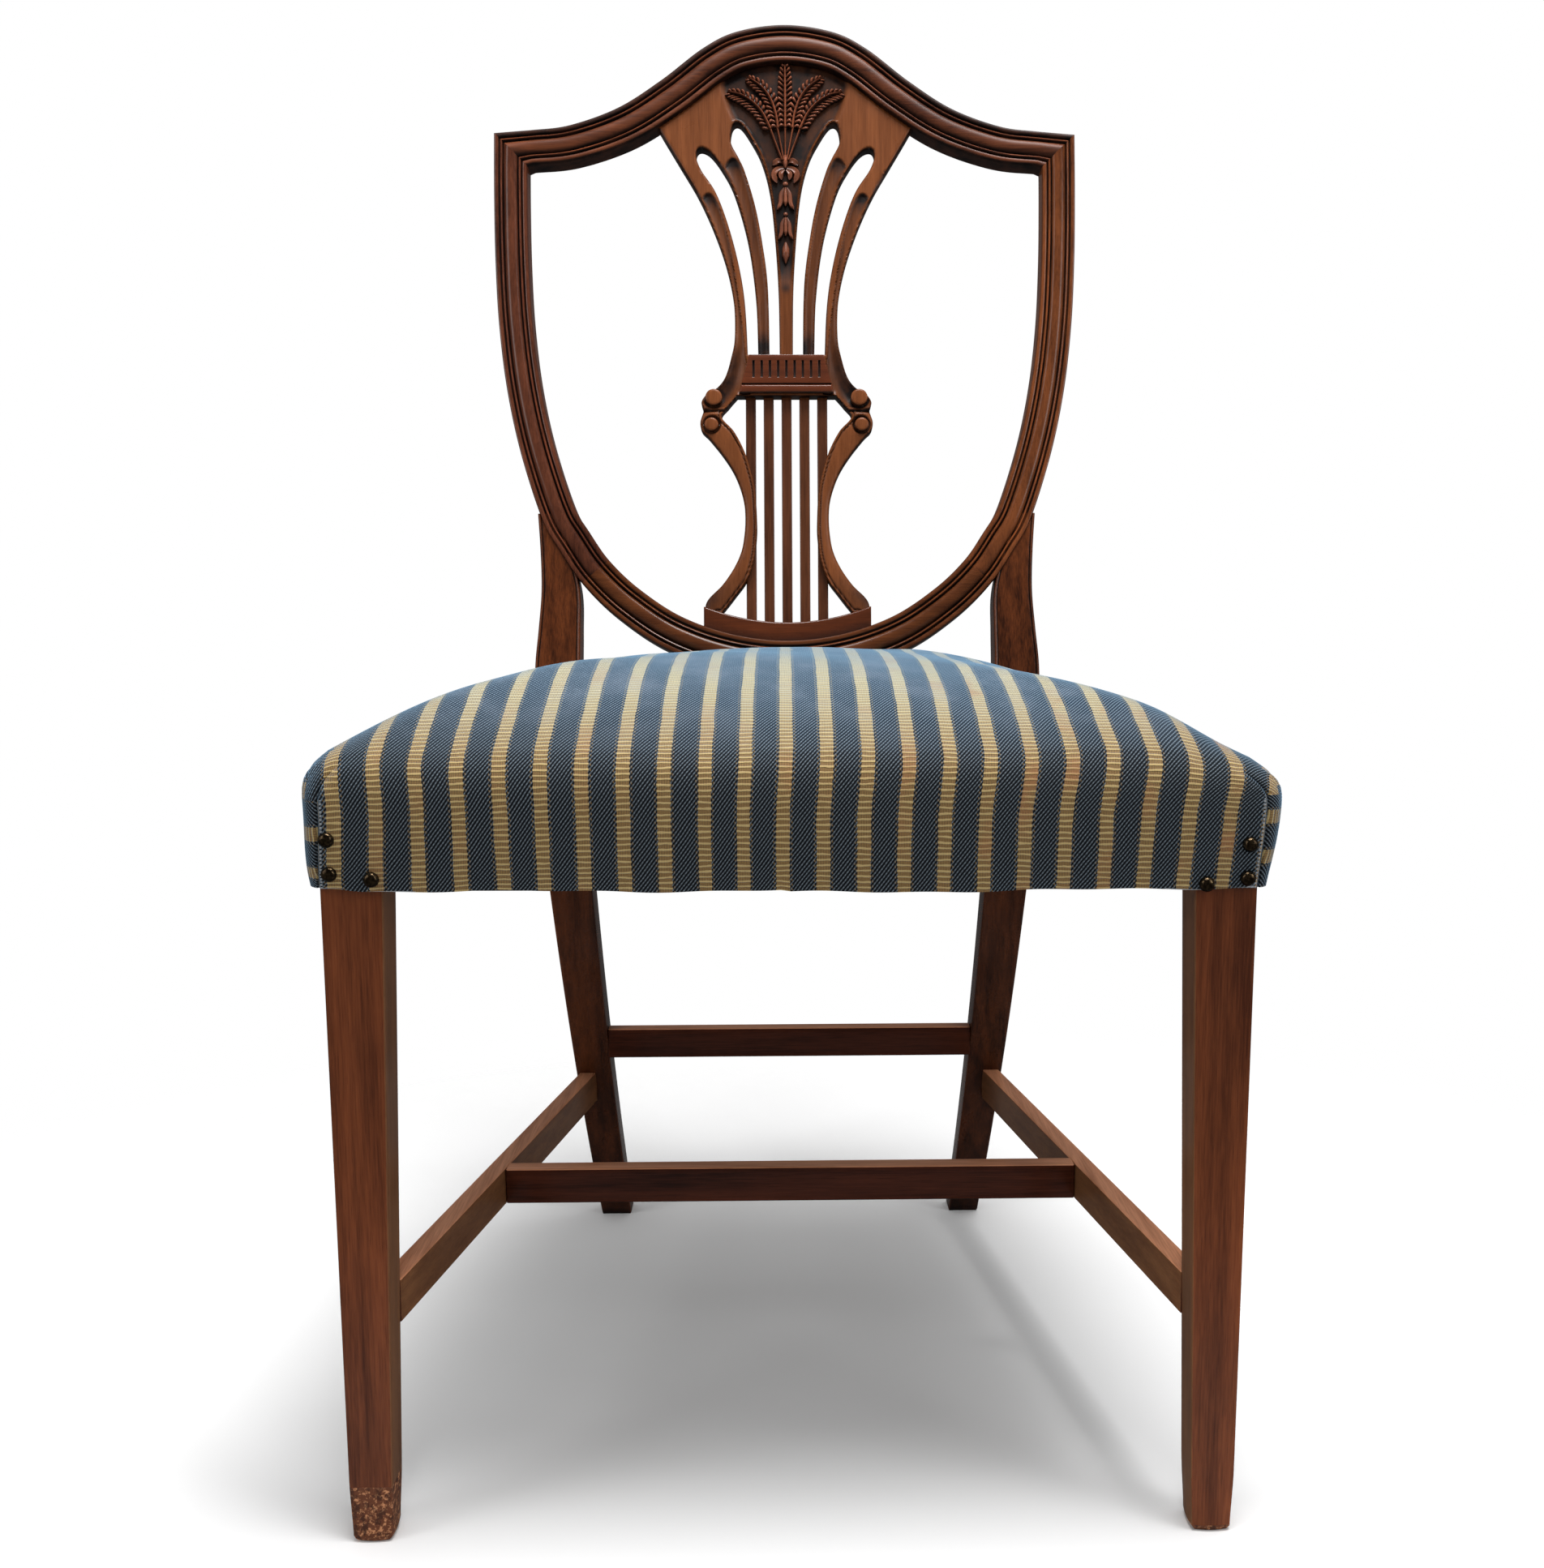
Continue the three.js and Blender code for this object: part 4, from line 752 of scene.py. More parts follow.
def mitre_share(line):
    """How much of a line the mitre takes up at its end."""
    return MOULDING_SIDE * 1.05 / float(np.linalg.norm(np.diff(line, axis=0), axis=1).sum())


mitre_crest = mitre_share(crest_line)
rings = [mitre_ring(-1)] + moulding_rings(crest_line, mitre_crest, 1 - mitre_crest) + [mitre_ring(1)]
# The crest's outer band is painted dark, as shade where it rounds away from the light.
finished(skinned("crest_moulding", rings), "crest_mahogany", "shield_mahogany", ["crest_rail"], run="x",
         leaning=True, **section_wear(rings, 0.75))

rings = moulding_rings(shield_line, JOINT_SHARE, 1 - JOINT_SHARE)
finished(skinned("bottom_moulding", rings), "bottom_mahogany", "shield_mahogany", ["shield_bottom_rail"],
         run="x", leaning=True, **section_wear(rings))

# %% [markdown]
# ## Rear legs
# Each rear leg is one length of wood: the raked and splayed leg, the post beside the seat, and the side of
# the shield. The leg and post are a skin over square rings whose places follow the drawing's formulas. Above
# the seat a fine bead is worked along both front edges of the post, so the rings carry that section too.

# %% Leg, post and side of the shield
REAR_FRONT = 397.5
REAR_RAKE = 62.5
RAKE_POWER = 2.35
REAR_SEAT_HALF = 199.0
REAR_FOOT_HALF = 162.8
REAR_SEAT = (36.5, 30.0)
REAR_FOOT = (25.0, 22.0)
REAR_STEP = 8
FOOT_EDGE = {"high": 1.2, "drawn": 0.6}
UPRIGHT_TOP = 157.0
UPRIGHT_DEPTH = (30.0, 17.0)
UPRIGHT_FRONT = 2.5
JOIN_SHARE = 0.853
# Darkening of the post: painted shade under the seat, and dirt and painted shade in the bead's quirk.
POST_DIRT_AND_SHADE = {"shade_under_seat": 0.55, "fades": 30, "quirk": (0.8, 0.4), "deepest": 1.6, "share": 0.7}
upright_shares = [
    (0.0, 0.0, 1.0), (0.08, 0.005, 0.99), (0.25, 0.008, 0.96), (0.42, -0.05, 0.9), (0.61, -0.1, 0.83),
    (0.8, -0.07, 0.66), (1, 0, 0.38),
]
# Across the post from one edge, and how deep its face is there: a round arris, a fine bead and a quirk.
ARRIS = [(0.0, 2.2), (0.25, 0.9), (0.8, 0.2), (1.4, 0.0)]
BEAD = [(2.0, 0.25), (2.4, 1.1), (2.8, 1.25), (3.2, 0.6), (4.2, 0.35)]


def post_section(width, depth, beaded):
    """Across and depth of one ring, from the inner edge round the front to the back."""
    edge = ARRIS + [(x, y * beaded) for x, y in BEAD]
    band, level = edge[-1]
    face = [(mix(band, width - band, s), level) for s in (0.15, 0.5, 0.85)]
    rear = [(0, depth * 0.5), (0, depth - 1.5), (0.5, depth - 0.4), (1.5, depth)]
    return np.array(edge + face + [(width - x, y) for x, y in edge[::-1]]
                    + [(width - x, y) for x, y in rear] + [(width / 2, depth)] + rear[::-1])


def rear_leg_at(z):
    """The leg's outer face, front face, width and depth at a level."""
    share = min(z / SEAT_UNDER, 1)
    outer = mix(REAR_FOOT_HALF, REAR_SEAT_HALF, share)
    front = REAR_FRONT + REAR_RAKE * (1 - share) ** RAKE_POWER
    return outer, front, mix(REAR_FOOT[0], REAR_SEAT[0], share), mix(REAR_FOOT[1], REAR_SEAT[1], share)


def rear_leg_rings(side):
    """Rings from the foot to the shield, and how much each point is darkened, as dirt and painted shade."""
    rings, dirt = [], []
    for z in [0, FOOT_EDGE["high"]] + list(np.arange(REAR_STEP, SEAT_UNDER + 40, REAR_STEP)):
        outer, front, width, depth = rear_leg_at(z)
        ring = post_section(width, depth, 0)
        drawn = 0 if z else FOOT_EDGE["drawn"]
        across = np.clip(ring[:, 0], drawn, width - drawn) + outer - width
        back = front + np.clip(ring[:, 1], drawn, depth - drawn)
        rings.append(placed(np.stack([side * across, back, np.full(len(ring), float(z))], axis=1)))
        # Below the seat the leg is darkened as painted shade.
        near_seat = smooth((SEAT_UNDER - z) / POST_DIRT_AND_SHADE["fades"])
        dirt.append(np.full(len(ring), POST_DIRT_AND_SHADE["shade_under_seat"] * near_seat))
    line = curve_through([(s * UPRIGHT_TOP, b, w) for s, b, w in upright_shares], 6)
    for up, bow, wide in line[line[:, 0] > 4]:
        share = up / UPRIGHT_TOP
        outer = mix(REAR_SEAT_HALF, JOIN_SHARE * SHIELD_HALF, share) + bow * REAR_SEAT[0]
        width = wide * REAR_SEAT[0]
        ring = post_section(width, mix(*UPRIGHT_DEPTH, share), 1)
        rings.append(in_back(side * (ring[:, 0] + outer - width), UPRIGHT_FRONT + ring[:, 1], up))
        start, length = POST_DIRT_AND_SHADE["quirk"]
        dirt.append(np.clip((ring[:, 1] - start) / length, 0, 1) * (ring[:, 1] < POST_DIRT_AND_SHADE["deepest"]))
    return rings, np.concatenate(dirt) * POST_DIRT_AND_SHADE["share"]


stile_rings = [mitre_ring(1)] + moulding_rings(shield_line, mitre_share(shield_line), JOINT_SHARE)
for name, side in SIDES:
    rings, dirt = rear_leg_rings(side)
    post = skinned("post_" + name, rings)
    stile = skinned("stile_" + name, [ring * np.array([side, 1, 1]) for ring in stile_rings])
    mark_wear(post, extra=dirt)
    mark_wear(stile, **section_wear(stile_rings))
    # Each stile takes its own side's finish: painted shade on the left, painted light on the right.
    for piece, finish in ((post, "post"), (stile, name)):
        mark_grain(piece, "z")
        piece.data.materials.append(FINISHES[finish + "_mahogany"])
    whole = joined("rear_leg_" + name + "_wood", [post, stile])
    shaded(whole)
    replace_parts(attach(whole, "root"), "rear_leg_" + name)
    print(whole.name, len(whole.data.polygons), "faces")

# %% [markdown]
# ## Stretchers
# Four plain rails tie the legs together. Each is a cube stretched between its shoulders and turned into line,
# with the arrises just taken off.

# %% Stretchers
STRETCHER_ARRIS = 0.9
SIDE_RAIL = {"thick": 13.0, "high": 25.0, "front": (21.0, 146.0), "rear": (8.8, 140.0)}
CROSS_RAIL = {"thick": 13.5, "high": 24.0, "top": 143.0, "share": 0.4525}
REAR_RAIL = {"thick": 13.0, "high": 24.0, "top": 178.0, "inset": 7.6}
# How far a rail's end goes into the leg or rail that it meets.
LET_IN, LET_IN_REAR = 0.5, 2.0


def rail_between(name, start, end, size, run):
    start, end = Vector(placed(start)[0]), Vector(placed(end)[0])
    way = end - start
    piece = added(bpy.ops.mesh.primitive_cube_add, name + "_wood", size=1, location=(0, 0, 0))
    piece.scale = (way.length, size["thick"] * MM, size["high"] * MM)
    bpy.ops.object.transform_apply(scale=True)
    turn = way.to_track_quat("X", "Z").to_matrix().to_4x4()
    piece.matrix_world = Matrix.Translation((start + end) / 2) @ turn
    bpy.ops.object.transform_apply(location=True, rotation=True)
    softened(piece, STRETCHER_ARRIS)
    # The darker finish paints the shade under the seat.
    finished(piece, "low_mahogany", "mahogany", [name], run=run)
    paled(piece)


front_z, rear_z = (SIDE_RAIL[end][1] - SIDE_RAIL["high"] / 2 for end in ("front", "rear"))
rear_outer, rear_front, *_ = rear_leg_at(rear_z)
leg_back = mix(FRONT_FOOT[1], FRONT_HEAD[1], front_z / SEAT_UNDER)
side_start = np.array([FRONT_HALF - SIDE_RAIL["front"][0], leg_back - LET_IN, front_z])
side_end = np.array([rear_outer - SIDE_RAIL["rear"][0], rear_front + LET_IN_REAR, rear_z])
for name, side in SIDES:
    flip = np.array([side, 1, 1])
    rail_between("side_stretcher_" + name, side_start * flip, side_end * flip, SIDE_RAIL, "y")

share = CROSS_RAIL["share"]
cross_y = mix(side_start[1] + LET_IN, side_end[1] - LET_IN_REAR, share)
cross_half = mix(side_start[0], side_end[0], share) - SIDE_RAIL["thick"] / 2 + LET_IN
rear_level = REAR_RAIL["top"] - REAR_RAIL["high"] / 2
outer, front, width, _ = rear_leg_at(rear_level)
for name, half, y, size in (
    ("cross_stretcher", cross_half, cross_y, CROSS_RAIL),
    ("rear_stretcher", outer - width + LET_IN, front + REAR_RAIL["inset"], REAR_RAIL),
):
    level = size["top"] - size["high"] / 2
    rail_between(name, (-half, y, level), (half, y, level), size, "x")

# %% [markdown]
# ## The splat board
# The splat is one pierced board. Its face is all shallow relief: flutes scooped down the ribs, a sunk ground
# round the carving, lips and knobs at the scrolls. A voxel remesh would blur the arrises, so the board's
# outline is filled with a triangle mesh that follows it exactly, fine where there is carving. Each point of
# the face is then sunk or raised by a rule that measures how far it is from the nearest edge.

# %% Outline of the board
HEAD_HALF = 97.0
ARM_FOOT = 83.7
SPLAT_TOP = 545.5
BOARD_FRONT = 5.0
BOARD_BACK = 17.0
SHOE = {"half": 66.0, "middle": 71.0, "front": 3.0, "back": 19.0, "round": 1.6, "end": 1.2, "arris": 0.8}
outside = [
    (1.12, 0.856), (1, 0.812), (0.865, 0.764), (0.715, 0.71), (0.59, 0.652), (0.486, 0.588), (0.427, 0.525),
    (0.42, 0.463), (0.45, 0.429), (0.5, 0.396), (0.565, 0.378), (0.655, 0.366), (0.694, 0.352),
    (0.68, 0.337), (0.705, 0.318), (0.69, 0.303), (0.63, 0.29), (0.52, 0.261), (0.435, 0.233),
    (0.38, 0.205), (0.349, 0.178), (0.341, 0.15), (0.35, 0.122), (0.375, 0.095), (0.435, 0.067),
    (0.53, 0.038), (0.655, 0.01), (0.68, -0.02),
]
inside = [
    (0.57, -0.02), (0.5, -0.003), (0.415, 0.02), (0.33, 0.045), (0.272, 0.08), (0.248, 0.12),
    (0.246, 0.15), (0.26, 0.2), (0.3, 0.237), (0.35, 0.269), (0.43, 0.301), (0.53, 0.326),
    (0.47, 0.345), (0.4, 0.362),
]
inner_slot = [
    (0.137, 0.433), (0.054, 0.433), (0.06, 0.54), (0.084, 0.63), (0.124, 0.713), (0.19, 0.769),
    (0.28, 0.807), (0.37, 0.833), (0.43, 0.829), (0.445, 0.8), (0.38, 0.772), (0.33, 0.748),
    (0.25, 0.691), (0.193, 0.628), (0.148, 0.55),
]
outer_slot = [
    (0.315, 0.433), (0.229, 0.433), (0.245, 0.53), (0.305, 0.628), (0.415, 0.713), (0.52, 0.757),
    (0.62, 0.784), (0.7, 0.79), (0.73, 0.777), (0.69, 0.752), (0.57, 0.713), (0.47, 0.657),
    (0.385, 0.588), (0.335, 0.52),
]
EDGE_STEP = 0.9


def splat_points(shares):
    return [(x * HEAD_HALF, mix(ARM_FOOT, SPLAT_TOP, v)) for x, v in shares]


def shoe_top(u):
    return mix(SHOE["middle"], ARM_FOOT, (np.asarray(u) / SHOE["half"]) ** 2)


def inner_edge(line, step, start, end, lap=0.0):
    """The line where the moulding ends on its inner side."""
    places, ways = evenly(line, step, start, end)
    reach = moulding_width(places[:, 0]) - lap
    return places + np.stack([ways[:, 1], -ways[:, 0]], axis=1) * reach[:, None]


crest_edge = inner_edge(crest_line, 1.5, 0.2, 0.8, 0.5)


def crest_under(u):
    return np.interp(u, crest_edge[:, 0], crest_edge[:, 1])


def trimmed(line):
    """Keeps the board above the shoe and below the crest."""
    line = np.array(line)
    line[:, 1] = np.minimum(line[:, 1], crest_under(line[:, 0]))
    line[:, 1] = np.maximum(line[:, 1], shoe_top(line[:, 0]) - 1)
    return line


def flipped(line):
    return line[::-1] * np.array([-1, 1])


head_edge = curve_through(splat_points(outside), 10)
under_crest = np.argmax(head_edge[:, 1] < crest_under(head_edge[:, 0]))
right_outside = evenly(trimmed(head_edge[under_crest - 1:]), EDGE_STEP)[0]
right_inside = evenly(trimmed(curve_through(splat_points(inside), 10)), EDGE_STEP)[0]
head_line = evenly(crest_edge[np.abs(crest_edge[:, 0]) < right_outside[0, 0]], EDGE_STEP * 1.5)[0]
slot_lines = []
for shares in (inner_slot, outer_slot):
    drawn = splat_points(shares)
    closed = curve_through(drawn[1:] + drawn[:1], 10)
    closed = np.vstack([closed, mix(closed[-1], closed[0], 0.5), closed[:1]])
    slot_lines.append(evenly(closed, EDGE_STEP)[0][:-1])

right_edge = np.vstack([right_outside, right_inside])
outline = np.vstack([right_edge, flipped(right_edge), head_line[1:-1]])
keep = [0]
for i in range(1, len(outline)):
    if np.linalg.norm(outline[i] - outline[keep[-1]]) > EDGE_STEP * 0.45:
        keep.append(i)
loops = [outline[keep], *slot_lines, *(flipped(line) for line in slot_lines)]
print("points round the outline and the slots:", [len(loop) for loop in loops])

# %% [markdown]
# Inside the outline the mesh needs points of its own. They are laid in rows like bricks, close together where
# the carving is and wider apart on the plain shoulders, and none stands too near an edge.

# %% Fill the outline
FACE_STEPS = (2.2, 1.05)
BEHIND_STEPS = (14, 7)
ROW_STEP = 0.87
SHOULDERS = ((452, 58), (415, 72))


def line_tree(points):
    """For finding how far a place is from a line of points."""
    tree = KDTree(len(points))
    for i, (u, v) in enumerate(points):
        tree.insert((u, v, 0), i)
    tree.balance()
    return tree


def distance(tree, u, v):
    return tree.find((u, v, 0))[2]


finer = [mix(loop, np.roll(loop, -1, axis=0), s) for loop in loops for s in (0, 1 / 3, 2 / 3)]
edge_tree = line_tree(np.vstack(finer))


def brick_points(low, high, step):
    rows = []
    for i, v in enumerate(np.arange(low[1], high[1], step * ROW_STEP)):
        us = np.arange(low[0], high[0], step) + (step / 2 if i % 2 else 0)
        rows.append(np.stack([us, np.full(len(us), v)], axis=1))
    return np.vstack(rows)


def on_shoulder(points):
    high, far = points[:, 1], np.abs(points[:, 0])
    return np.any([(high > level) & (far > out) for level, out in SHOULDERS], axis=0)


def inside_board(points):
    """Even-odd rule: a point is in the board if a level ray crosses its edges an odd number of times."""
    crossed = np.zeros(len(points), int)
    for loop in loops:
        for (ax, ay), (bx, by) in zip(loop, np.roll(loop, -1, axis=0)):
            if ay != by:
                hit = (points[:, 1] > min(ay, by)) & (points[:, 1] <= max(ay, by))
                cross = ax + (points[hit, 1] - ay) / (by - ay) * (bx - ax)
                crossed[np.flatnonzero(hit)[points[hit, 0] < cross]] += 1
    return crossed % 2 == 1


def loop_edges():
    """The two ends of every edge of the outline and the slots."""
    edges, start = [], 0
    for loop in loops:
        edges += [(start + i, start + (i + 1) % len(loop)) for i in range(len(loop))]
        start += len(loop)
    return edges


def fill(step_plain, step_carved):
    """The board's outline as triangles: points of the edges first, then the points laid between them."""
    boundary = np.vstack(loops)
    low, high = boundary.min(0), boundary.max(0)
    plain, carved = brick_points(low, high, step_plain), brick_points(low, high, step_carved)
    field = np.vstack([plain[on_shoulder(plain)], carved[~on_shoulder(carved)]])
    field = field[inside_board(field)]
    near = np.array([distance(edge_tree, u, v) for u, v in field])
    points = np.vstack([boundary, field[near > step_carved * 0.55]])
    verts, _, faces, *_ = delaunay_2d_cdt([Vector(p) for p in points], loop_edges(), [], 0, 1e-7)
    verts = np.array([tuple(v) for v in verts])
    faces = np.array([f for f in faces if len(f) == 3])
    return verts, faces[inside_board(verts[faces].mean(1))]


edge_count = sum(len(loop) for loop in loops)
face_points, face_triangles = fill(*FACE_STEPS)
print("board face:", len(face_points), "points,", len(face_triangles), "triangles")

# %% [markdown]
# ## Carving the face
# Every rule below answers two questions: how far is the face sunk behind the board's front at this place,
# and how much is it darkened there, as dirt and painted shade? The ribs are scooped between thin standing
# edges, the ground round the ears is lowered, the lower arms carry a bead and swell towards the outside, and
# a groove runs round every knob of the scrolls.

# %% Relief of the board
# Up the splat as a share of its height, and how far out the middle of each slot is there.
inner_middle = np.array([
    (0.433, 0.0955), (0.54, 0.103), (0.63, 0.139), (0.713, 0.197), (0.769, 0.28), (0.807, 0.363),
    (0.833, 0.42),
]).T
outer_middle = np.array([
    (0.433, 0.272), (0.53, 0.29), (0.628, 0.365), (0.713, 0.4925), (0.757, 0.605), (0.784, 0.68),
    (0.79, 0.72),
]).T
# Levels, and how far out the sunk ground reaches there.
ground_half = np.array([
    (350, 9), (430, 20), (440, 23), (450, 27), (460, 34), (470, 41), (480, 45.5), (495, 50), (515, 53),
]).T
KNOBS = [(57.6, 249.6, 6.6), (59.5, 228.1, 5.4)]
SCROLL_SPLIT = 239.0
SCROLL_IN, SCROLL_TOP = 29.0, 306.0
TABLET_TOP = 283.0
RIBS_START = TABLET_TOP - 4
TEARS = {"inner": (41.5, 441.0), "outer": (61.0, 413.0)}
LIP = curve_through([(30.5, 300), (30.8, 279.6), (33.4, 263.6), (37.8, 251.9), (44.6, 243.6), (51.2, 240.2),
                     (57.6, 240.4), (64.2, 243.0)], 8)
fine_lines = (evenly(line, 0.3)[0] for line in (LIP, right_inside, right_outside))
lip_tree, inside_tree, outside_tree = map(line_tree, fine_lines)

# Depths and widths of the cuts in millimetres, and shares of darkening, as dirt and painted shade.
SUNK = {"deep": 2.4, "side": (2, -7.0), "starts": (330, 30), "edge": (0.9, 1.3), "crest": (-9, 5),
        "dirt": (1.0, 0.62), "crest_shadow": 0.3}
RIB = {"deep": 1.9, "edge": 0.9, "round": 1.9, "bow": 6.5, "end": 2.5, "dirt_fades": 6.5, "most_dirt": 0.8,
       "waist_up": (SCROLL_TOP, -16), "waist_across": (26, -3)}
ARM = {"groove": 1.3, "groove_at": 2.3, "groove_half": 0.55, "field": (1.6, 1.2), "flat": 0.25, "swell": 2.2,
       "power": 2.5, "foot": (120, -34)}
COVE = {"deep": 2.6, "fades": (300, -30), "edge": (0.6, 1.6), "length": 9.0, "inside": 0.35,
        "dirt_edge": (0.4, 1.4), "dirt_far": (3.0, 8.0)}
RING = {"deep": 3.0, "out": 0.9, "half": 1.3, "edge": (0.8, 0.8), "under": (0.3, -0.8), "dirt": 0.9}
DROP = {"level": 336, "size": 14, "dirt": 0.7}
SPLIT = {"deep": 2.0, "half": 1.0, "from": 48, "to": 70}


def ground_relief(u, v, gap):
    """The ground behind the carving, sunk at the crest but not at the edges of the slots."""
    half = np.interp(v, *ground_half)
    at_crest = over(v - crest_under(u), SUNK["crest"])
    sunk = over(u - half, SUNK["side"]) * over(v, SUNK["starts"]) * max(over(gap, SUNK["edge"]), at_crest)
    # The ground darkens as dirt and painted shade, and more under the crest as the crest's painted shadow.
    dirt = mix(*SUNK["dirt"], min(u / half, 1) ** 2) + SUNK["crest_shadow"] * at_crest
    return SUNK["deep"] * sunk, dirt * sunk


def rib_relief(u, v, gap, tear):
    """The scoop of a rib, which starts in a rounded end under the head."""
    start = over(v + (u - tear[0]) ** 2 / RIB["bow"], (tear[1], -RIB["end"]))
    scoop = 1 - math.exp(-max(gap - RIB["edge"], 0) / RIB["round"])
    # The scoop darkens most at its rounded end and above the tablet, as dirt and painted shade.
    dirt = min(1.9 * math.exp(-max(tear[1] - v, 0) / RIB["dirt_fades"]), RIB["most_dirt"])
    dirt_and_shade = start * (0.2 + min(1.5 * scoop, 1) * dirt)
    waist = over(v, RIB["waist_up"]) * over(u, RIB["waist_across"])
    return start * scoop * RIB["deep"], dirt_and_shade + RIB["most_dirt"] * waist


def arm_relief(u, v):
    """A bead along the inner edge of a lower arm, a groove beside it and a swelling to the outside."""
    from_inside, from_outside = distance(inside_tree, u, v), distance(outside_tree, u, v)
    across = from_inside / max(from_inside + from_outside, TINY)
    groove = hump(from_inside - ARM["groove_at"], ARM["groove_half"])
    field = (ARM["flat"] + ARM["swell"] * across ** ARM["power"]) * over(from_inside, ARM["field"])
    # The groove darkens as dirt and painted shade; the foot and outer side of the arm as painted shade.
    return ARM["groove"] * groove + field, 0.8 * groove + over(v, ARM["foot"]) * (0.2 + 0.55 * across)


def scroll_relief(u, v):
    """The cove on both sides of the lip that curls into the upper knob."""
    away = distance(lip_tree, u, v)
    near = over(v, COVE["fades"])
    beyond = u > np.interp(v, LIP[::-1, 1], LIP[::-1, 0]) or v < LIP[-4, 1]
    cove = over(away, COVE["edge"]) * (smooth(away / COVE["length"]) if beyond else COVE["inside"])
    # The cove darkens as dirt and painted shade.
    dirt = 0.15 + 0.45 * over(away, COVE["dirt_far"]) if beyond else 0.25
    return near * cove * COVE["deep"], near * over(away, COVE["dirt_edge"]) * dirt


def relief(u, v):
    """Depth of the face at a place, and how much dirt and painted shade darken it there."""
    u = abs(u)
    share = (v - ARM_FOOT) / (SPLAT_TOP - ARM_FOOT)
    gap = distance(edge_tree, u, v)
    cuts = []
    dirt_and_shade = 0.0
    if v > RIBS_START or (v > SCROLL_SPLIT and u > SCROLL_IN):
        cuts.append(ground_relief(u, v, gap))
        if v <= RIBS_START or u >= np.interp(share, *inner_middle) * HEAD_HALF:
            in_inner = v > RIBS_START and u < np.interp(share, *outer_middle) * HEAD_HALF
            cuts.append(rib_relief(u, v, gap, TEARS["inner" if in_inner else "outer"]))
        dirt_and_shade += DROP["dirt"] * math.exp(-((v - DROP["level"]) ** 2 + u**2) / DROP["size"])
    elif v < SCROLL_SPLIT + 3:
        cuts.append(arm_relief(u, v))
    if SCROLL_SPLIT < v < SCROLL_TOP and u > SCROLL_IN:
        cuts.append(scroll_relief(u, v))
    depth = sum(cut[0] for cut in cuts)
    dirt_and_shade += sum(cut[1] for cut in cuts)
    for knob_u, knob_v, radius in KNOBS:
        away = math.hypot(u - knob_u, v - knob_v)
        if (v - SCROLL_SPLIT) * (knob_v - SCROLL_SPLIT) > 0:
            ring = hump(away - radius - RING["out"], RING["half"]) * over(gap, RING["edge"])
            depth = max(depth, RING["deep"] * ring, RING["deep"] * over(away - radius, RING["under"]))
            # The groove round a knob darkens as dirt and painted shade.
            dirt_and_shade += RING["dirt"] * ring
    split = hump(v - SCROLL_SPLIT, SPLIT["half"]) if SPLIT["from"] < u < SPLIT["to"] else 0.0
    rounding = 1 - math.sqrt(1 - (1 - min(gap, 1)) ** 2)
    return depth + SPLIT["deep"] * split + rounding, dirt_and_shade + split


carved = np.array([relief(u, v) for u, v in face_points])
print("deepest cut", round(carved[:, 0].max(), 1), "mm")

# %% Board as a solid
MIDDLE_DEPTH = 11.0
SLOT_SHADE, ARRIS_SHADE = 0.85, 0.45
front_count = len(face_points)
edge_points = face_points[:edge_count]
behind_points, behind_triangles = fill(*BEHIND_STEPS)
layers = ((face_points, BOARD_FRONT + carved[:, 0]), (edge_points, MIDDLE_DEPTH), (edge_points, BOARD_BACK),
          (behind_points[edge_count:], BOARD_BACK))
points = [in_back(layer[:, 0], depth, layer[:, 1]) for layer, depth in layers]
first, second, third = (face_points[face_triangles[:, k]] for k in range(3))
turn = np.cross(second - first, third - first)
faces = [tuple(f) if t > 0 else tuple(f[::-1]) for f, t in zip(face_triangles, turn)]
rows = [0, front_count, front_count + edge_count]
for a, b in loop_edges():
    faces += [(low + a, low + b, high + b, high + a) for low, high in zip(rows, rows[1:])]
faces += [tuple(int(rows[-1] + i) for i in f) for f in behind_triangles]
board = mesh_piece("splat_board_wood", np.vstack(points), faces)
turned_out(board)
dirt_and_shade = np.zeros(len(board.data.vertices))
dirt_and_shade[:front_count] = carved[:, 1]
# Slot walls and the face's edges are darkened as painted shade.
dirt_and_shade[front_count:front_count + edge_count] = SLOT_SHADE
dirt_and_shade[:edge_count] = np.maximum(dirt_and_shade[:edge_count], ARRIS_SHADE)
finished(board, "splat_mahogany", "mahogany", ["splat_board"], run="z", leaning=True, angle=50, extra=dirt_and_shade,
         gain=0.8, rub=0.25)

# %% [markdown]
# ## Wheat ears, ribbon and bellflowers
# The carving stands on the sunk ground. Every form in it, from a grain of wheat to a ribbon's fold, is a
# leaf: a line down the middle, a width and a height that change along it, and a rounded back. So one helper
# draws them all. A leaf that is modelled in this way keeps clean edges where a chisel would leave them.

# %% Leaf helper
GROUND = BOARD_FRONT + 2.5
LET_DOWN = 0.3
pieces = []


def at_shares(share, pairs):
    """A value between (share, value) pairs."""
    return np.interp(share, *np.transpose(pairs))


def leaf(line, widths, heights, crease=0.0, around=10, step=0.8):
    """Adds a rounded leaf to the carving. Widths and heights are (share of length, millimetres) pairs."""
    places, ways = evenly(curve_through(line, 8), step)
    share = np.linspace(0, 1, len(places))
    turn = np.linspace(0, math.pi, around - 2)
    back = np.sin(turn) ** 0.8
    fold = 1 - crease * np.exp(-(np.cos(turn) / 0.3) ** 2)
    sizes = zip(at_shares(share, widths), at_shares(share, heights))
    rings = []
    for (u, v), (way_u, way_v), (wide, high) in zip(places, ways, sizes):
        across = np.concatenate([np.cos(turn), [-0.8, 0.8]]) * wide / 2
        depth = GROUND - np.concatenate([back * high * fold, [-LET_DOWN, -LET_DOWN]])
        rings.append(in_back(u - way_v * across, depth, v + way_u * across))
    pieces.append(skinned("leaf", rings))


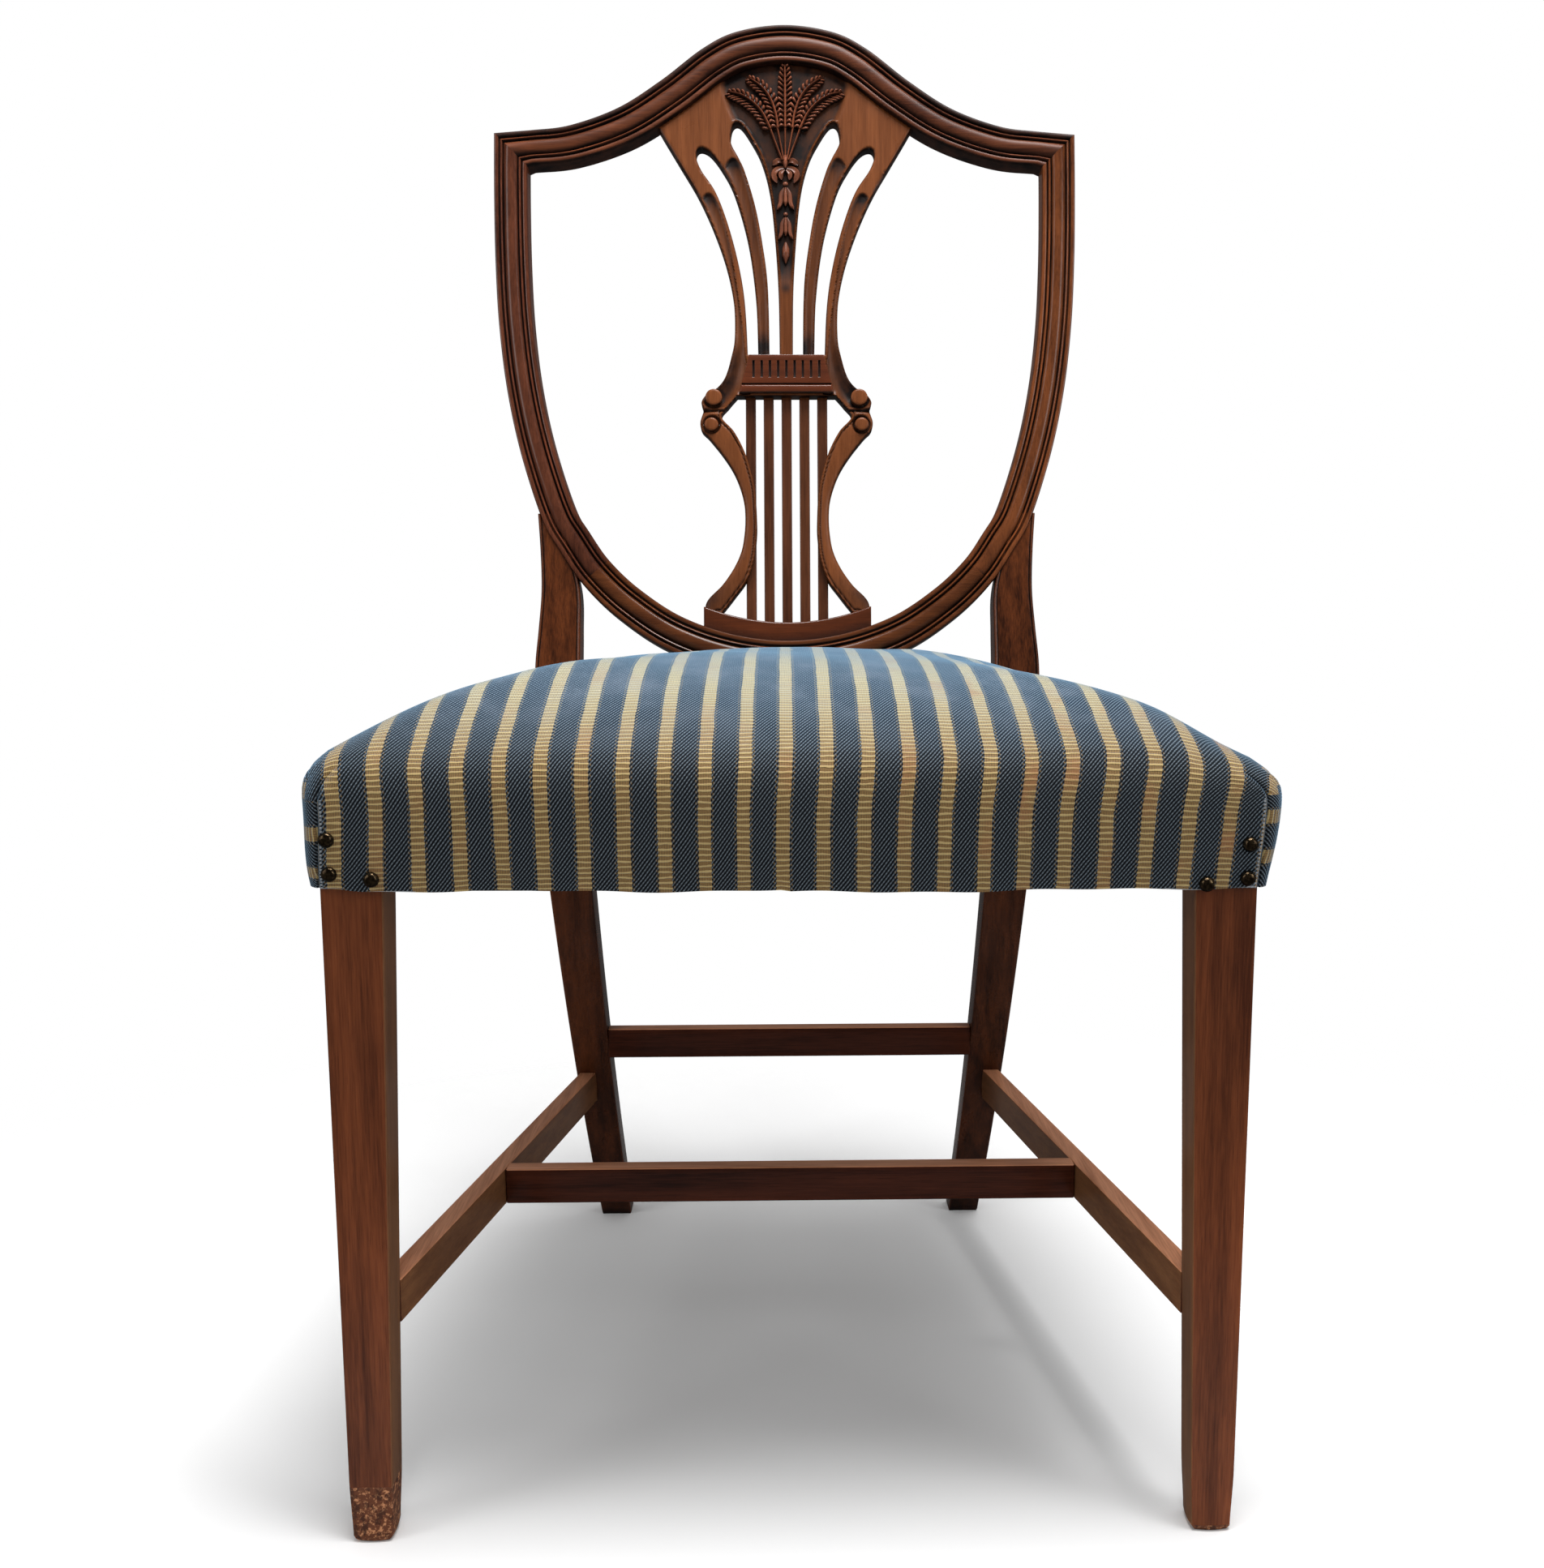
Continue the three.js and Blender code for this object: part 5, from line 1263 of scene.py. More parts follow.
def both_sides(points):
    return [points, [(-u, v) for u, v in points]]


# %% Wheat ears
CENTRE_EAR = [(0, 464), (0, 482), (0, 500), (0, 516.5)]
INNER_EAR = [(5.6, 463.5), (7.6, 476.5), (12, 488), (19.2, 497.2), (30.5, 505)]
OUTER_EAR = [(11.5, 463), (17.4, 475), (25.0, 483.7), (34.5, 489.9), (46, 493.0)]
EAR_SHAPE = [(0, 0.7), (0.15, 0.86), (0.4, 1.0), (0.7, 0.92), (0.86, 0.62), (0.94, 0.34), (1, 0.12)]
BED_HIGH = [(0, 1.2), (0.5, 1.4), (1, 1.0)]
BARB_ROWS = 13
BARB_BEND = ((0.12, 0.1), (0.5, 0.12), (0.82, 0.02), (1.0, -0.14))
BARB_WIDE = [(0, 0.6), (0.35, 1.0), (0.75, 0.95), (1, 0.3)]
BARB_HIGH = [(0, 2.0), (0.4, 4.0), (0.7, 3.8), (1, 1.6)]
SPINE_WIDE = [(0, 2.0), (0.5, 1.8), (0.9, 1.5), (1, 0.5)]
SPINE_HIGH = [(0, 5.2), (0.5, 5.8), (0.9, 5.0), (1, 2.8)]


def wheat_ear(line, left, right):
    """A low bed, a barb of grain on each side at every step, and the spine over them."""
    leaf(line, [(s, (left + right) * w * 0.7) for s, w in EAR_SHAPE], BED_HIGH)
    places, ways = evenly(curve_through(line, 8), 0.5)
    for row in range(BARB_ROWS):
        share = mix(0.02, 0.92, row / (BARB_ROWS - 1))
        at = int(share * (len(places) - 1))
        (u, v), (way_u, way_v) = places[at], ways[at]
        thick = mix(3.0, 2.2, share)
        for side, most in ((1, left), (-1, right)):
            turn = side * mix(0.95, 0.5, share**2)
            long = most * at_shares(share, EAR_SHAPE) / abs(math.sin(turn)) * 0.97
            drawn = []
            for out, bent in BARB_BEND:
                cos, sin = math.cos(turn + side * bent), math.sin(turn + side * bent)
                reach = long * out
                step_u, step_v = way_u * cos - way_v * sin, way_u * sin + way_v * cos
                drawn.append((u + step_u * reach, v + step_v * reach))
            leaf(drawn, [(s, thick * w) for s, w in BARB_WIDE], BARB_HIGH, around=9, step=0.95)
    leaf(line, SPINE_WIDE, SPINE_HIGH, around=9, step=1.4)


wheat_ear(CENTRE_EAR, 6.2, 6.2)
for line, narrow, broad in ((INNER_EAR, 5.8, 6.6), (OUTER_EAR, 5.6, 8.2)):
    right_line, left_line = both_sides(line)
    wheat_ear(right_line, narrow, broad)
    wheat_ear(left_line, broad, narrow)

# %% Stems, ribbon, husks and bud
for foot_u, top_u in ((-2.4, -12.2), (-1.2, -6.2), (0, 0), (1.2, 6.2), (2.4, 12.2)):
    leaf([(mix(foot_u, top_u, share), v) for share, v in ((0, 438), (0.3, 446), (0.64, 455), (1, 465))],
         [(0, 1.6), (0.5, 1.5), (1, 1.7)], [(0, 4.8), (0.5, 4.6), (1, 4.4)], around=9, step=1.4)

leaf([(0, 442), (0, 437), (0, 431.5)], [(0, 2.6), (0.35, 4.6), (0.75, 3.4), (1, 0.6)],
     [(0, 4.4), (0.5, 5.2), (1, 4.0)])
# The folds of the bow: the line of each, its width and its height.
BOW = [
    ([(1.4, 436.6), (5.5, 438.2), (10.4, 434.6)], 5.8, 3.6),
    ([(1.2, 432.6), (6.4, 431.2), (9.2, 426.4), (6.6, 420.2)], 5.8, 4.2),
    ([(0.8, 431.0), (3.6, 427.6), (3.0, 422.6)], 4.6, 4.6),
]
for line, wide, high in BOW:
    for drawn in both_sides(line):
        leaf(drawn, [(0, wide * 0.45), (0.4, wide), (0.78, wide * 0.9), (1, 0.8)],
             [(0, high * 0.7), (0.5, high), (1, high * 0.7)], crease=0.45)


def bead_at(v, radius):
    ball = added(bpy.ops.mesh.primitive_uv_sphere_add, segments=20, ring_count=12, radius=radius * MM,
                 location=in_back(0, GROUND - radius * 0.75, v)[0])
    bpy.ops.object.transform_apply(location=True)
    pieces.append(ball)


def husk(top, bottom, half):
    """A bellflower: a long middle petal over two side petals whose tips turn out."""
    tall = top - bottom
    for side in (-1, 1):
        leaf([(side * 0.8, top), (side * half * 0.5, top - tall * 0.3),
              (side * half * 0.6, top - tall * 0.68), (side * half, bottom + 0.4)],
             [(0, 2.0), (0.25, half * 0.62), (0.6, half * 0.66), (0.88, half * 0.5), (1, 0.8)],
             [(0, 2.4), (0.4, 3.2), (0.85, 3.8), (1, 2.6)], crease=0.2)
    leaf([(0, top), (0, mix(top, bottom, 0.45)), (0, bottom + tall * 0.16)],
         [(0, 1.8), (0.35, half * 0.5), (0.75, half * 0.56), (1, 0.8)],
         [(0, 2.8), (0.4, 3.9), (0.8, 4.7), (1, 3.4)], crease=0.12)


bead_at(419.3, 2.2)
husk(417, 398.6, 6.6)
bead_at(395.3, 1.9)
husk(393, 374.8, 5.8)
leaf([(0, 373), (0, 364), (0, 356)], [(0, 2.6), (0.3, 6.6), (0.65, 6.2), (1, 0.7)],
     [(0, 2.6), (0.5, 4.2), (1, 2.4)], step=0.6)
carving = joined("splat_carving", pieces)
behind = in_back(0, 1, 0)[0] - in_back(0, 0, 0)[0]
height = (in_back(0, GROUND, 0)[0] - vertex_values(carving.data, "co")) @ behind / (behind @ behind)
# Low places darken as dirt and painted shade; the highest, the spines, lighten as a painted highlight.
finished(carving, "carved_mahogany", "mahogany", run="z", leaning=True, angle=60, gain=0.95,
         extra=0.95 * smooth((3.4 - height) / 2.2), worn=smooth((height - 4.4) / 0.8))

# %% [markdown]
# ## Knobs, tablet, strings and shoe
# The knobs in the scrolls are turned discs. The tablet is a tapered block: slices mark out nine flutes on its
# face, and each is sunk with an inset. Five plain strings run down to the shoe, whose top dips in the middle.
# All but the shoe are drawn upright first, and then laid back with the rest of the back.

# %% Pieces drawn upright and laid back
LAY_BACK = (
    Matrix.Translation(placed((0, BACK_Y, BACK_Z))[0])
    @ Matrix.Rotation(-LEAN, 4, "X")
    @ Matrix.Translation(-Vector(placed((0, 0, 0))[0]))
)
KNOB = {"thick": 6.4, "middle": 7.4, "rim": 1.6, "rise": 0.7}
TABLET = {"foot": 252.5, "top": TABLET_TOP, "foot_half": 37.5, "top_half": 29.4, "front": 3.0, "back": 8.0,
          "groove": (258.9, 260.3), "groove_deep": 1.4, "groove_edge": 0.3,
          "foot_edge": 0.9, "foot_rise": 1.0}
FLUTES = {"count": 9, "pitch": 6.5, "half": 1.0, "foot": 265.0, "top": 278.4, "deep": 1.6, "edge": 0.35}
STRING = {"count": 5, "half": 4.0, "front": 11.0, "back": 17.0, "foot": 65.5, "top": 257.0, "pitch": 14.2}
# A face that looks more to the front than this is a front face.
TO_FRONT = -0.9


def laid_back(piece):
    piece.data.transform(LAY_BACK)
    return piece


def row_of(size):
    """The middles of pieces in an even row."""
    return [(i - (size["count"] - 1) / 2) * size["pitch"] for i in range(size["count"])]


def front_inset(piece, test, edge, rise):
    """Draws in the front faces whose place passes a test, and raises or sinks them."""
    on_faces(piece, lambda x, y, z, n: n.y < TO_FRONT and test(x, z), bpy.ops.mesh.inset,
             thickness=edge * MM, depth=rise * MM)


knobs = []
for knob_u, knob_v, radius in KNOBS:
    for side in (-1, 1):
        knob = added(bpy.ops.mesh.primitive_cylinder_add, vertices=40, radius=radius * MM,
                     depth=KNOB["thick"] * MM, location=placed((side * knob_u, KNOB["middle"], knob_v))[0],
                     rotation=(math.pi / 2, 0, 0))
        bpy.ops.object.transform_apply(location=True, rotation=True)
        front_inset(knob, lambda x, z: True, KNOB["rim"], KNOB["rise"])
        bevelled(knob, KNOB["rise"], 3, 20)
        knobs.append(laid_back(knob))
finished(joined("splat_knobs", knobs), "splat_mahogany", "mahogany", run="z", leaning=True)

tablet = bar("tablet_block", (-TABLET["foot_half"], TABLET["front"], TABLET["foot"]),
             (TABLET["foot_half"], TABLET["back"], TABLET["top"]))
in_edit(tablet, lambda x, y, z: z > TABLET["top"] - 1, bpy.ops.transform.resize,
        value=(TABLET["top_half"] / TABLET["foot_half"], 1, 1),
        center_override=placed((0, 0, TABLET["top"]))[0])
groove_low, groove_high = TABLET["groove"]
for level in (groove_low, groove_high, FLUTES["foot"], FLUTES["top"]):
    sliced(tablet, (0, 0, level), UP)
for middle in row_of(FLUTES):
    for edge in (-FLUTES["half"], FLUTES["half"]):
        sliced(tablet, (middle + edge, 0, 0), (1, 0, 0))


def in_flute(x, z):
    in_row = min(abs(x - middle) for middle in row_of(FLUTES)) < FLUTES["half"] / 2
    return in_row and FLUTES["foot"] < z < FLUTES["top"]


front_inset(tablet, lambda x, z: groove_low < z < groove_high, TABLET["groove_edge"],
            -TABLET["groove_deep"])
front_inset(tablet, in_flute, FLUTES["edge"], -FLUTES["deep"])
front_inset(tablet, lambda x, z: z < groove_low, TABLET["foot_edge"], TABLET["foot_rise"])
bevelled(tablet, FLUTES["edge"], 2, 30)
finished(laid_back(tablet), "tablet_mahogany", "mahogany", ["splat_tablet"], run="x", leaning=True)

for number, middle in enumerate(row_of(STRING), 1):
    name = "string_" + str(number)
    string = bar(name + "_wood", (middle - STRING["half"], STRING["front"], STRING["foot"]),
                 (middle + STRING["half"], STRING["back"], STRING["top"]))
    softened(string, 1.0)
    finished(laid_back(string), "string_mahogany", "mahogany", [name], run="z", leaning=True)

# %% Shoe
foot_edge = inner_edge(shield_line, 1.0, 0.38, 0.62)
foot_edge = foot_edge[np.argsort(foot_edge[:, 0])]
SHOE_RINGS = 89
rings = []
for u in np.linspace(-SHOE["half"], SHOE["half"], SHOE_RINGS):
    low = float(np.interp(u, foot_edge[:, 0], foot_edge[:, 1])) - 0.2
    high = float(shoe_top(u))
    near = SHOE["front"] + SHOE["end"] - min(SHOE["end"], (SHOE["half"] - abs(u)) * SHOE["end"])
    back, bend = SHOE["back"], SHOE["round"]
    ring = [(near, low), (near, mix(low, high, 0.5)), (near, high - bend)]
    for t in np.linspace(0, math.pi / 2, 5)[1:]:
        ring.append((near + bend * (1 - math.cos(t)), high - bend * (1 - math.sin(t))))
    arris = SHOE["arris"]
    ring += [(mix(near, back, 0.5), high), (back - arris, high), (back, high - arris), (back, low)]
    rings.append(in_back(u, *np.transpose(ring)))
shoe = skinned("splat_shoe_wood", rings)
finished(shoe, "shoe_mahogany", "mahogany", ["splat_shoe"], run="x", leaning=True)

# %% [markdown]
# ## The upholstered seat
# The cover is one cloth pulled over the padding. Its surface is drawn as rings of the seat's plan, from the
# hem up to the crown. The cloth's own measure is kept in a UV map in metres: stripes run from front to back
# over the crown and straight down the front. The sides take up the stripes that run out over the edge, so
# there they lie nearly level. Stations are closer together at the front corners, where the folds are.

# %% Plan of the seat
SEAT_SIDE_START = 28.5
REAR_LEG_INNER = 162.5
LEG_GAP = 0.6
COVER_BACK = 423.5
FRONT_BOW = 5.0
CENTRE_Y = 225.0
# Where the front cloth's fold lies, as a share of the front.
FOLD = 0.994
ACROSS_FLIP = np.array([-1, 1])


def seat_side(y):
    share = np.maximum(y - SEAT_SIDE_START, 0) / (REAR_FRONT - SEAT_SIDE_START)
    return mix(FRONT_HALF, REAR_SEAT_HALF, share)


# Stations round the right half: (part, share). The front has many, so that its stripes stay straight.
close_by = np.concatenate([np.linspace(0, 0.07, 14)[1:], np.linspace(0.07, 1, 56)[1:]])
stations = [
    (part, s)
    for part, shares in (
        ("front", np.append(np.linspace(0, FOLD, 47), 1.0)), ("corner", np.linspace(0, 1, 11)[1:]),
        ("side", close_by), ("notch", np.linspace(0, 1, 9)[1:]), ("back", np.linspace(0, 1, 28)),
    )
    for s in shares
]
right_and_left = stations + stations[1:-1][::-1]
parts = np.array([part for part, _ in right_and_left])
part_shares = np.array([s for _, s in right_and_left])
is_right = np.arange(len(parts)) < len(stations)


def seat_ring(out, corner, inward=0.0):
    """The seat's plan, so far outside the frame and with corners of this radius."""
    radius = corner + max(out, 0)
    leg_front = REAR_FRONT - LEG_GAP - inward
    leg_inner = REAR_LEG_INNER - LEG_GAP - inward
    corner_x = float(seat_side(radius - out)) + out - radius
    corner_y = radius - out
    right = []
    for part, s in stations:
        if part == "front":
            right.append((corner_x * s, -out - FRONT_BOW * (1 - s**2)))
        elif part == "corner":
            turn = math.pi / 2 * s
            right.append((corner_x + radius * math.sin(turn), corner_y - radius * math.cos(turn)))
        elif part == "side":
            y = mix(corner_y, leg_front, s)
            right.append((float(seat_side(y)) + out, y))
        elif part == "notch":
            right.append((mix(float(seat_side(leg_front)) + out, leg_inner, s), leg_front))
        else:
            right.append((leg_inner * (1 - s), COVER_BACK + out))
    right = np.array(right)
    return np.vstack([right, right[1:-1][::-1] * ACROSS_FLIP])


def drawn_in(ring, share):
    """A ring drawn in towards the middle of the seat."""
    return np.stack([ring[:, 0] * share, mix(CENTRE_Y, ring[:, 1], share)], axis=1)


# %% Rings from the hem to the crown
HEM, ROLL, SHOULDER, CROWN = 374.5, 422.0, 448.6, 494.0
SHOULDER_OUT, CORNER_SOFT, CORNER_SHARP = -1.6, 20.0, 0.6
CROWN_RINGS = 46
PEAK = 2 / (3 * math.sqrt(3))
STRIPE_PITCH = 22.0
SAG = {"front": 2.0, "front_back": (120, 200), "right": 6.0, "right_back": (150, 150),
       "corner": 6.0, "corner_across": (195, 45), "corner_back": (110, -90), "corner_up": (415, 35),
       "left_rise": 3.2, "left_at": -182, "left_half": 48, "left_back": (20, 60)}
BULGE = {"left": 2.5, "right": 2.0, "across": (150, 90), "level": 420, "half": 45}
# How far the stripes on the crown have crept sideways, from the left to the right.
CREPT = [(-240, -1.3), (-150, -3.0), (-50, 0.5), (-12, 4.0), (60, 6.5), (130, 9.5), (220, 12.0), (245, 13.0)]
CREPT_ON_TOP, CREPT_FALL = 0.55, 40
# Where the sides' own creep starts: near the front corners, and below the shoulder.
SIDE_CREEP_BACK, SIDE_CREEP_FALL = (40, 90), 22


def roll_share(level):
    return float(np.clip((level - ROLL) / (SHOULDER - ROLL), 0, 1))


def settled(ring, level, share):
    """The padding has sunk on the right and is full on the left, and both sides lean to the right."""
    x, y = ring[:, 0], ring[:, 1]
    across = x / FRONT_HALF
    to_crown = 1 - share**2
    sunk = SAG["front"] * across * to_crown / PEAK * (1 - over(y, SAG["front_back"]))
    sunk -= SAG["right"] * np.clip(across, 0, 1) * to_crown * over(y, SAG["right_back"])
    at_corner = over(x, SAG["corner_across"]) * over(y, SAG["corner_back"])
    sunk += SAG["corner"] * at_corner * over(level, SAG["corner_up"])
    at_left = np.exp(-((x - SAG["left_at"]) / SAG["left_half"]) ** 2)
    sunk -= SAG["left_rise"] * at_left * (1 - share**6) * over(y, SAG["left_back"])
    bulge = over(np.abs(x), BULGE["across"]) * smooth(1 - abs(level - BULGE["level"]) / BULGE["half"])
    return np.stack([x + bulge * np.where(x > 0, BULGE["right"], BULGE["left"]), y, level - sunk], axis=1)


def drift(x, fall):
    """How far a stripe has crept, which grows on the way down the front."""
    return at_shares(x, CREPT) * mix(CREPT_ON_TOP, 1, float(smooth(fall / CREPT_FALL)))


# Each row is how far out of the frame it lies, its level, how far it is drawn in, and its corners' radius.
rows = [(out, level, 1.0, CORNER_SHARP)
        for out, level in ((0.6, HEM + 3.0), (0.8, HEM + 0.6), (1.6, HEM - 0.2), (2.9, HEM - 0.1))]
under_rows = len(rows)
wall = [(3.4, HEM), (6.85, 398.6), (8.1, ROLL), (7.2, 434), (4.2, 442), (SHOULDER_OUT, SHOULDER)]
for out, level in curve_through(wall, 6):
    rows.append((out, level, 1.0, mix(CORNER_SHARP, CORNER_SOFT, roll_share(level) ** 2)))
top_row = len(rows) - 1
for share in np.linspace(1, 0.03, CROWN_RINGS)[1:]:
    rows.append((SHOULDER_OUT, mix(SHOULDER, CROWN, 1 - share**3), share, CORNER_SOFT))

# How far each row is below the shoulder, measured on the cloth.
falls = [0.0] * len(rows)
for i in range(top_row - 1, -1, -1):
    falls[i] = falls[i + 1] + math.hypot(rows[i][0] - rows[i + 1][0], rows[i][1] - rows[i + 1][1])

shoulder_ring = seat_ring(SHOULDER_OUT, CORNER_SOFT)
past_fold = (parts == "front") & (part_shares > FOLD + 0.001)
round_corner = past_fold | (parts == "corner")
EDGE_START = float(np.abs(shoulder_ring[:, 0]).max())
outward = np.where(is_right, 1, -1)
from_middle = np.where(round_corner, EDGE_START, np.abs(shoulder_ring[:, 0]))
# A side stripe shows at these levels by the front corners, on the right and on the left.
SIDE_STRIPES = (411.0, 404.0)
SIDE_CREEP = [STRIPE_PITCH / 2 - (EDGE_START + SHOULDER - level + STRIPE_PITCH / 2) % STRIPE_PITCH
              for level in SIDE_STRIPES]
points, cloth = [], []
for (out, level, share, corner), fall in zip(rows, falls):
    ring = drawn_in(seat_ring(out, corner), share)
    points.append(settled(ring, level, share))
    x, y = ring.T
    straight = x + drift(x, fall)
    if share < 1.0:
        cloth.append(np.stack([straight, y, straight, y], axis=1))
    else:
        at_corner = (1 - over(y, SIDE_CREEP_BACK)) * float(smooth(fall / SIDE_CREEP_FALL))
        creep = mix(outward * drift(outward * from_middle, 0), np.where(is_right, *SIDE_CREEP), at_corner)
        sides_u = outward * (from_middle + fall + creep)
        sides_v = y + np.where(round_corner, np.abs(x) - np.abs(x).max(), 0)
        cloth.append(np.stack([straight, shoulder_ring[:, 1] - fall, sides_u, sides_v], axis=1))
points, cloth = np.array(points), np.array(cloth)
around = points.shape[1]
levels = np.array([level for _, level, _, _ in rows])
on_wall = np.arange(len(rows)) <= top_row
print("cover rings:", len(rows), "stations:", around)

# %% [markdown]
# ## Corner folds and a tired hem
# At each front corner the front cloth is folded under and lies over the side cloth, which makes one upright
# ridge with a crease behind it. The hem has crept and frayed at the legs, and the padding under the cover is
# never quite even, so the crown gets broad, shallow waves.

# %% Folds, waves and the hem
FOLD_REACH = 40
# Ridges and creases behind the fold: how far back, how wide and how high.
FOLD_WAVES = ((1.5, 2.6, 1.5), (6.5, 1.5, -1.7), (13.0, 5.0, 1.6))
FOLD_UNDER, FOLD_HALF = 1.2, 0.028
LIFT = {"right": 0.8, "left": 1.8, "left_more": (-226, -16), "leg": (30, -20), "side": 6.0,
        "side_from": (3, 3), "side_to": (60, -50)}
SWELL, HEM_WAVE, HEM_FADES = 1.1, 0.7, 14
for r in np.flatnonzero(on_wall & (levels > HEM - 1)):
    strength = float(smooth((SHOULDER - 1 - levels[r]) / 10))
    for j in range(around):
        y = points[r, j, 1]
        if parts[j] in ("corner", "side") and y < FOLD_REACH:
            puff = sum(high * hump(y - back, wide) for back, wide, high in FOLD_WAVES)
            points[r, j, 0] += outward[j] * strength * puff
        if past_fold[j]:
            points[r, j, 1] += strength * FOLD_UNDER
        elif parts[j] == "front":
            points[r, j, 1] -= strength * hump(part_shares[j] - FOLD, FOLD_HALF)
x, y, z = (points[:, :, k] for k in range(3))
swell = np.sin((x * 0.021 + y * 0.013) * 2.1 + 0.6) * np.cos(y * 0.019 + 1.1) * SWELL
z += swell * over(z, (438, 14))
hem_wave = np.sin(x * 0.11) * 0.5 + np.sin(x * 0.043 + 1.3) * 0.8 + np.sin(y * 0.09)
near_hem = np.where(levels < HEM + 0.1, 1.0, np.maximum(0.0, 1 - (levels - HEM) / HEM_FADES))
at_left = LIFT["left"] * (1 + over(x, LIFT["left_more"]))
lifted = np.where(is_right, LIFT["right"], at_left) * over(y, LIFT["leg"])
lifted += LIFT["side"] * ~is_right * over(y, LIFT["side_from"]) * over(y, LIFT["side_to"])
z += (hem_wave * HEM_WAVE + lifted) * near_hem[:, None]

# %% Cover mesh
FOLD_TOP = 425.0
crown_middle = points[-1].mean(0)
middle_index = len(rows) * around
last_ring = middle_index - around
faces = ring_faces(len(rows), around)
faces += [(last_ring + j, last_ring + (j + 1) % around, middle_index) for j in range(around)]
cover = mesh_piece("seat_cover_cloth", np.vstack([placed(points), placed(crown_middle)]), faces)
flat = np.vstack([cloth.reshape(-1, 4), [*crown_middle[:2], *crown_middle[:2]]]) * MM
layer = cover.data.uv_layers.new(name="cloth")
on_side, at_corner = np.isin(parts, ("side", "notch")), parts == "corner"
for face in cover.data.polygons:
    here = [v % around for v in face.vertices if v < middle_index]
    folded = face.center.z < FOLD_TOP * MM
    turned = at_corner[here] & (folded | (part_shares[here] > 0.6)) | past_fold[here] & folded
    sideways = (turned | on_side[here]).sum() * 2 > len(here) - (folded and past_fold[here].any())
    for loop, vertex in zip(face.loop_indices, face.vertices):
        layer.data[loop].uv = flat[vertex][2:] if sideways else flat[vertex][:2]
turned_out(cover)
if sum(face.normal.z * face.area for face in cover.data.polygons) < 0:
    in_edit(cover, everything, bpy.ops.mesh.flip_normals)

# %% [markdown]
# ## The striped cloth
# The pattern is worked out from the cloth's own UV map. A cream stripe runs every 22 millimetres. It is a
# ribbed band: bright weft bars with fine upright threads between them, and a row of tiny loops down both
# edges. The blue between is a fine diagonal twill of pale dots on navy. Where the seat faces up, the cloth
# has faded and been rubbed, and is painted paler and bluer as lit from above; the front keeps darker colours
# as painted shade. An attribute marks this.

# %% Cloth finish
STRIPE = {"pitch": STRIPE_PITCH * MM, "half": 0.0037, "edge": 0.0003, "bar": 0.0031, "thread": 0.0009,
          "dot": 0.0029, "stitch": 0.0021, "loops_out": 0.0011}
# A number of stripes that brings every place on the cloth above nought.
WHOLE_STRIPES = 200
tree = new_finish("striped_cloth")
frayed, top_lit_fade = tree.attribute("frayed"), tree.attribute("faded")
uv, plain_x, y = tree.on_cloth()
x = tree.plus(plain_x, tree.times(tree.minus(tree.noise(uv, 60, 2), 0.5), 0.0012))
folded = tree.math("PINGPONG", tree.plus(x, STRIPE["pitch"] * WHOLE_STRIPES), STRIPE["pitch"] / 2)


# Front colours are painted as in shade; up-facing ones are faded and painted as lit from above.
def fading(fresh_in_shade, faded):
    return tree.blend(top_lit_fade, colour(*fresh_in_shade), colour(*faded))


# The weft bars of a cream stripe, bright on top, with a row of upright ticks between each two.
slip = tree.times(tree.noise(tree.scaled(uv, (0.5, 1, 1)), 180, 3, 0.6), 0.002)
weft = tree.wave(tree.plus(y, slip), STRIPE["bar"])
bars = tree.ramp(weft, 0.0, 0.85)
edge = tree.minus(folded, tree.times(weft, 0.0002))
cream = tree.ramp(edge, STRIPE["half"] + STRIPE["edge"], STRIPE["half"] - STRIPE["edge"])
threads = tree.ramp(tree.wave(x, STRIPE["thread"]), 0.1, 0.9)
ticks = tree.times(threads, tree.minus(1.0, tree.times(bars, 0.7)))
cream_middle = fading((142, 112, 68), (182, 171, 134))
cream_colour = tree.blend(tree.times(bars, 0.85), cream_middle, fading((196, 172, 118), (206, 200, 166)))
cream_colour = tree.blend(tree.times(ticks, 0.75), cream_colour, fading((62, 46, 28), (112, 98, 72)))
stain = tree.ramp(tree.noise(uv, 22, 3, 0.6), 0.5, 0.72)
at_right = tree.plus(tree.times(tree.ramp(plain_x, 0.02, 0.16), 0.35), 0.25)
cream_colour = tree.blend(tree.times(stain, at_right), cream_colour, colour(158, 104, 66))
# The blue is a fine twill: pale dots in rows that climb to the right.
rising = tree.wave(tree.plus(x, y), STRIPE["dot"])
falling = tree.ramp(tree.wave(tree.minus(tree.times(x, 1.35), y), STRIPE["dot"]), -0.2, 0.9)
dots = tree.times(falling, tree.plus(tree.times(rising, 0.28), 0.7))
dots = tree.times(dots, tree.plus(tree.noise(uv, 1100, 2), 0.45), clamp=True)
blue_colour = tree.blend(dots, fading((5, 8, 13), (24, 40, 58)), fading((112, 122, 130), (138, 160, 178)))
# A thin dotted line of pale loops runs beside each cream stripe.
beside = tree.math("ABSOLUTE", tree.minus(folded, STRIPE["half"] + STRIPE["loops_out"]))
picot = tree.times(tree.ramp(beside, 0.0005, 0.0002), tree.ramp(rising, 0.1, 0.8))
blue_colour = tree.blend(tree.times(picot, 0.6), blue_colour, cream_middle)
woven = tree.blend(cream, blue_colour, cream_colour)
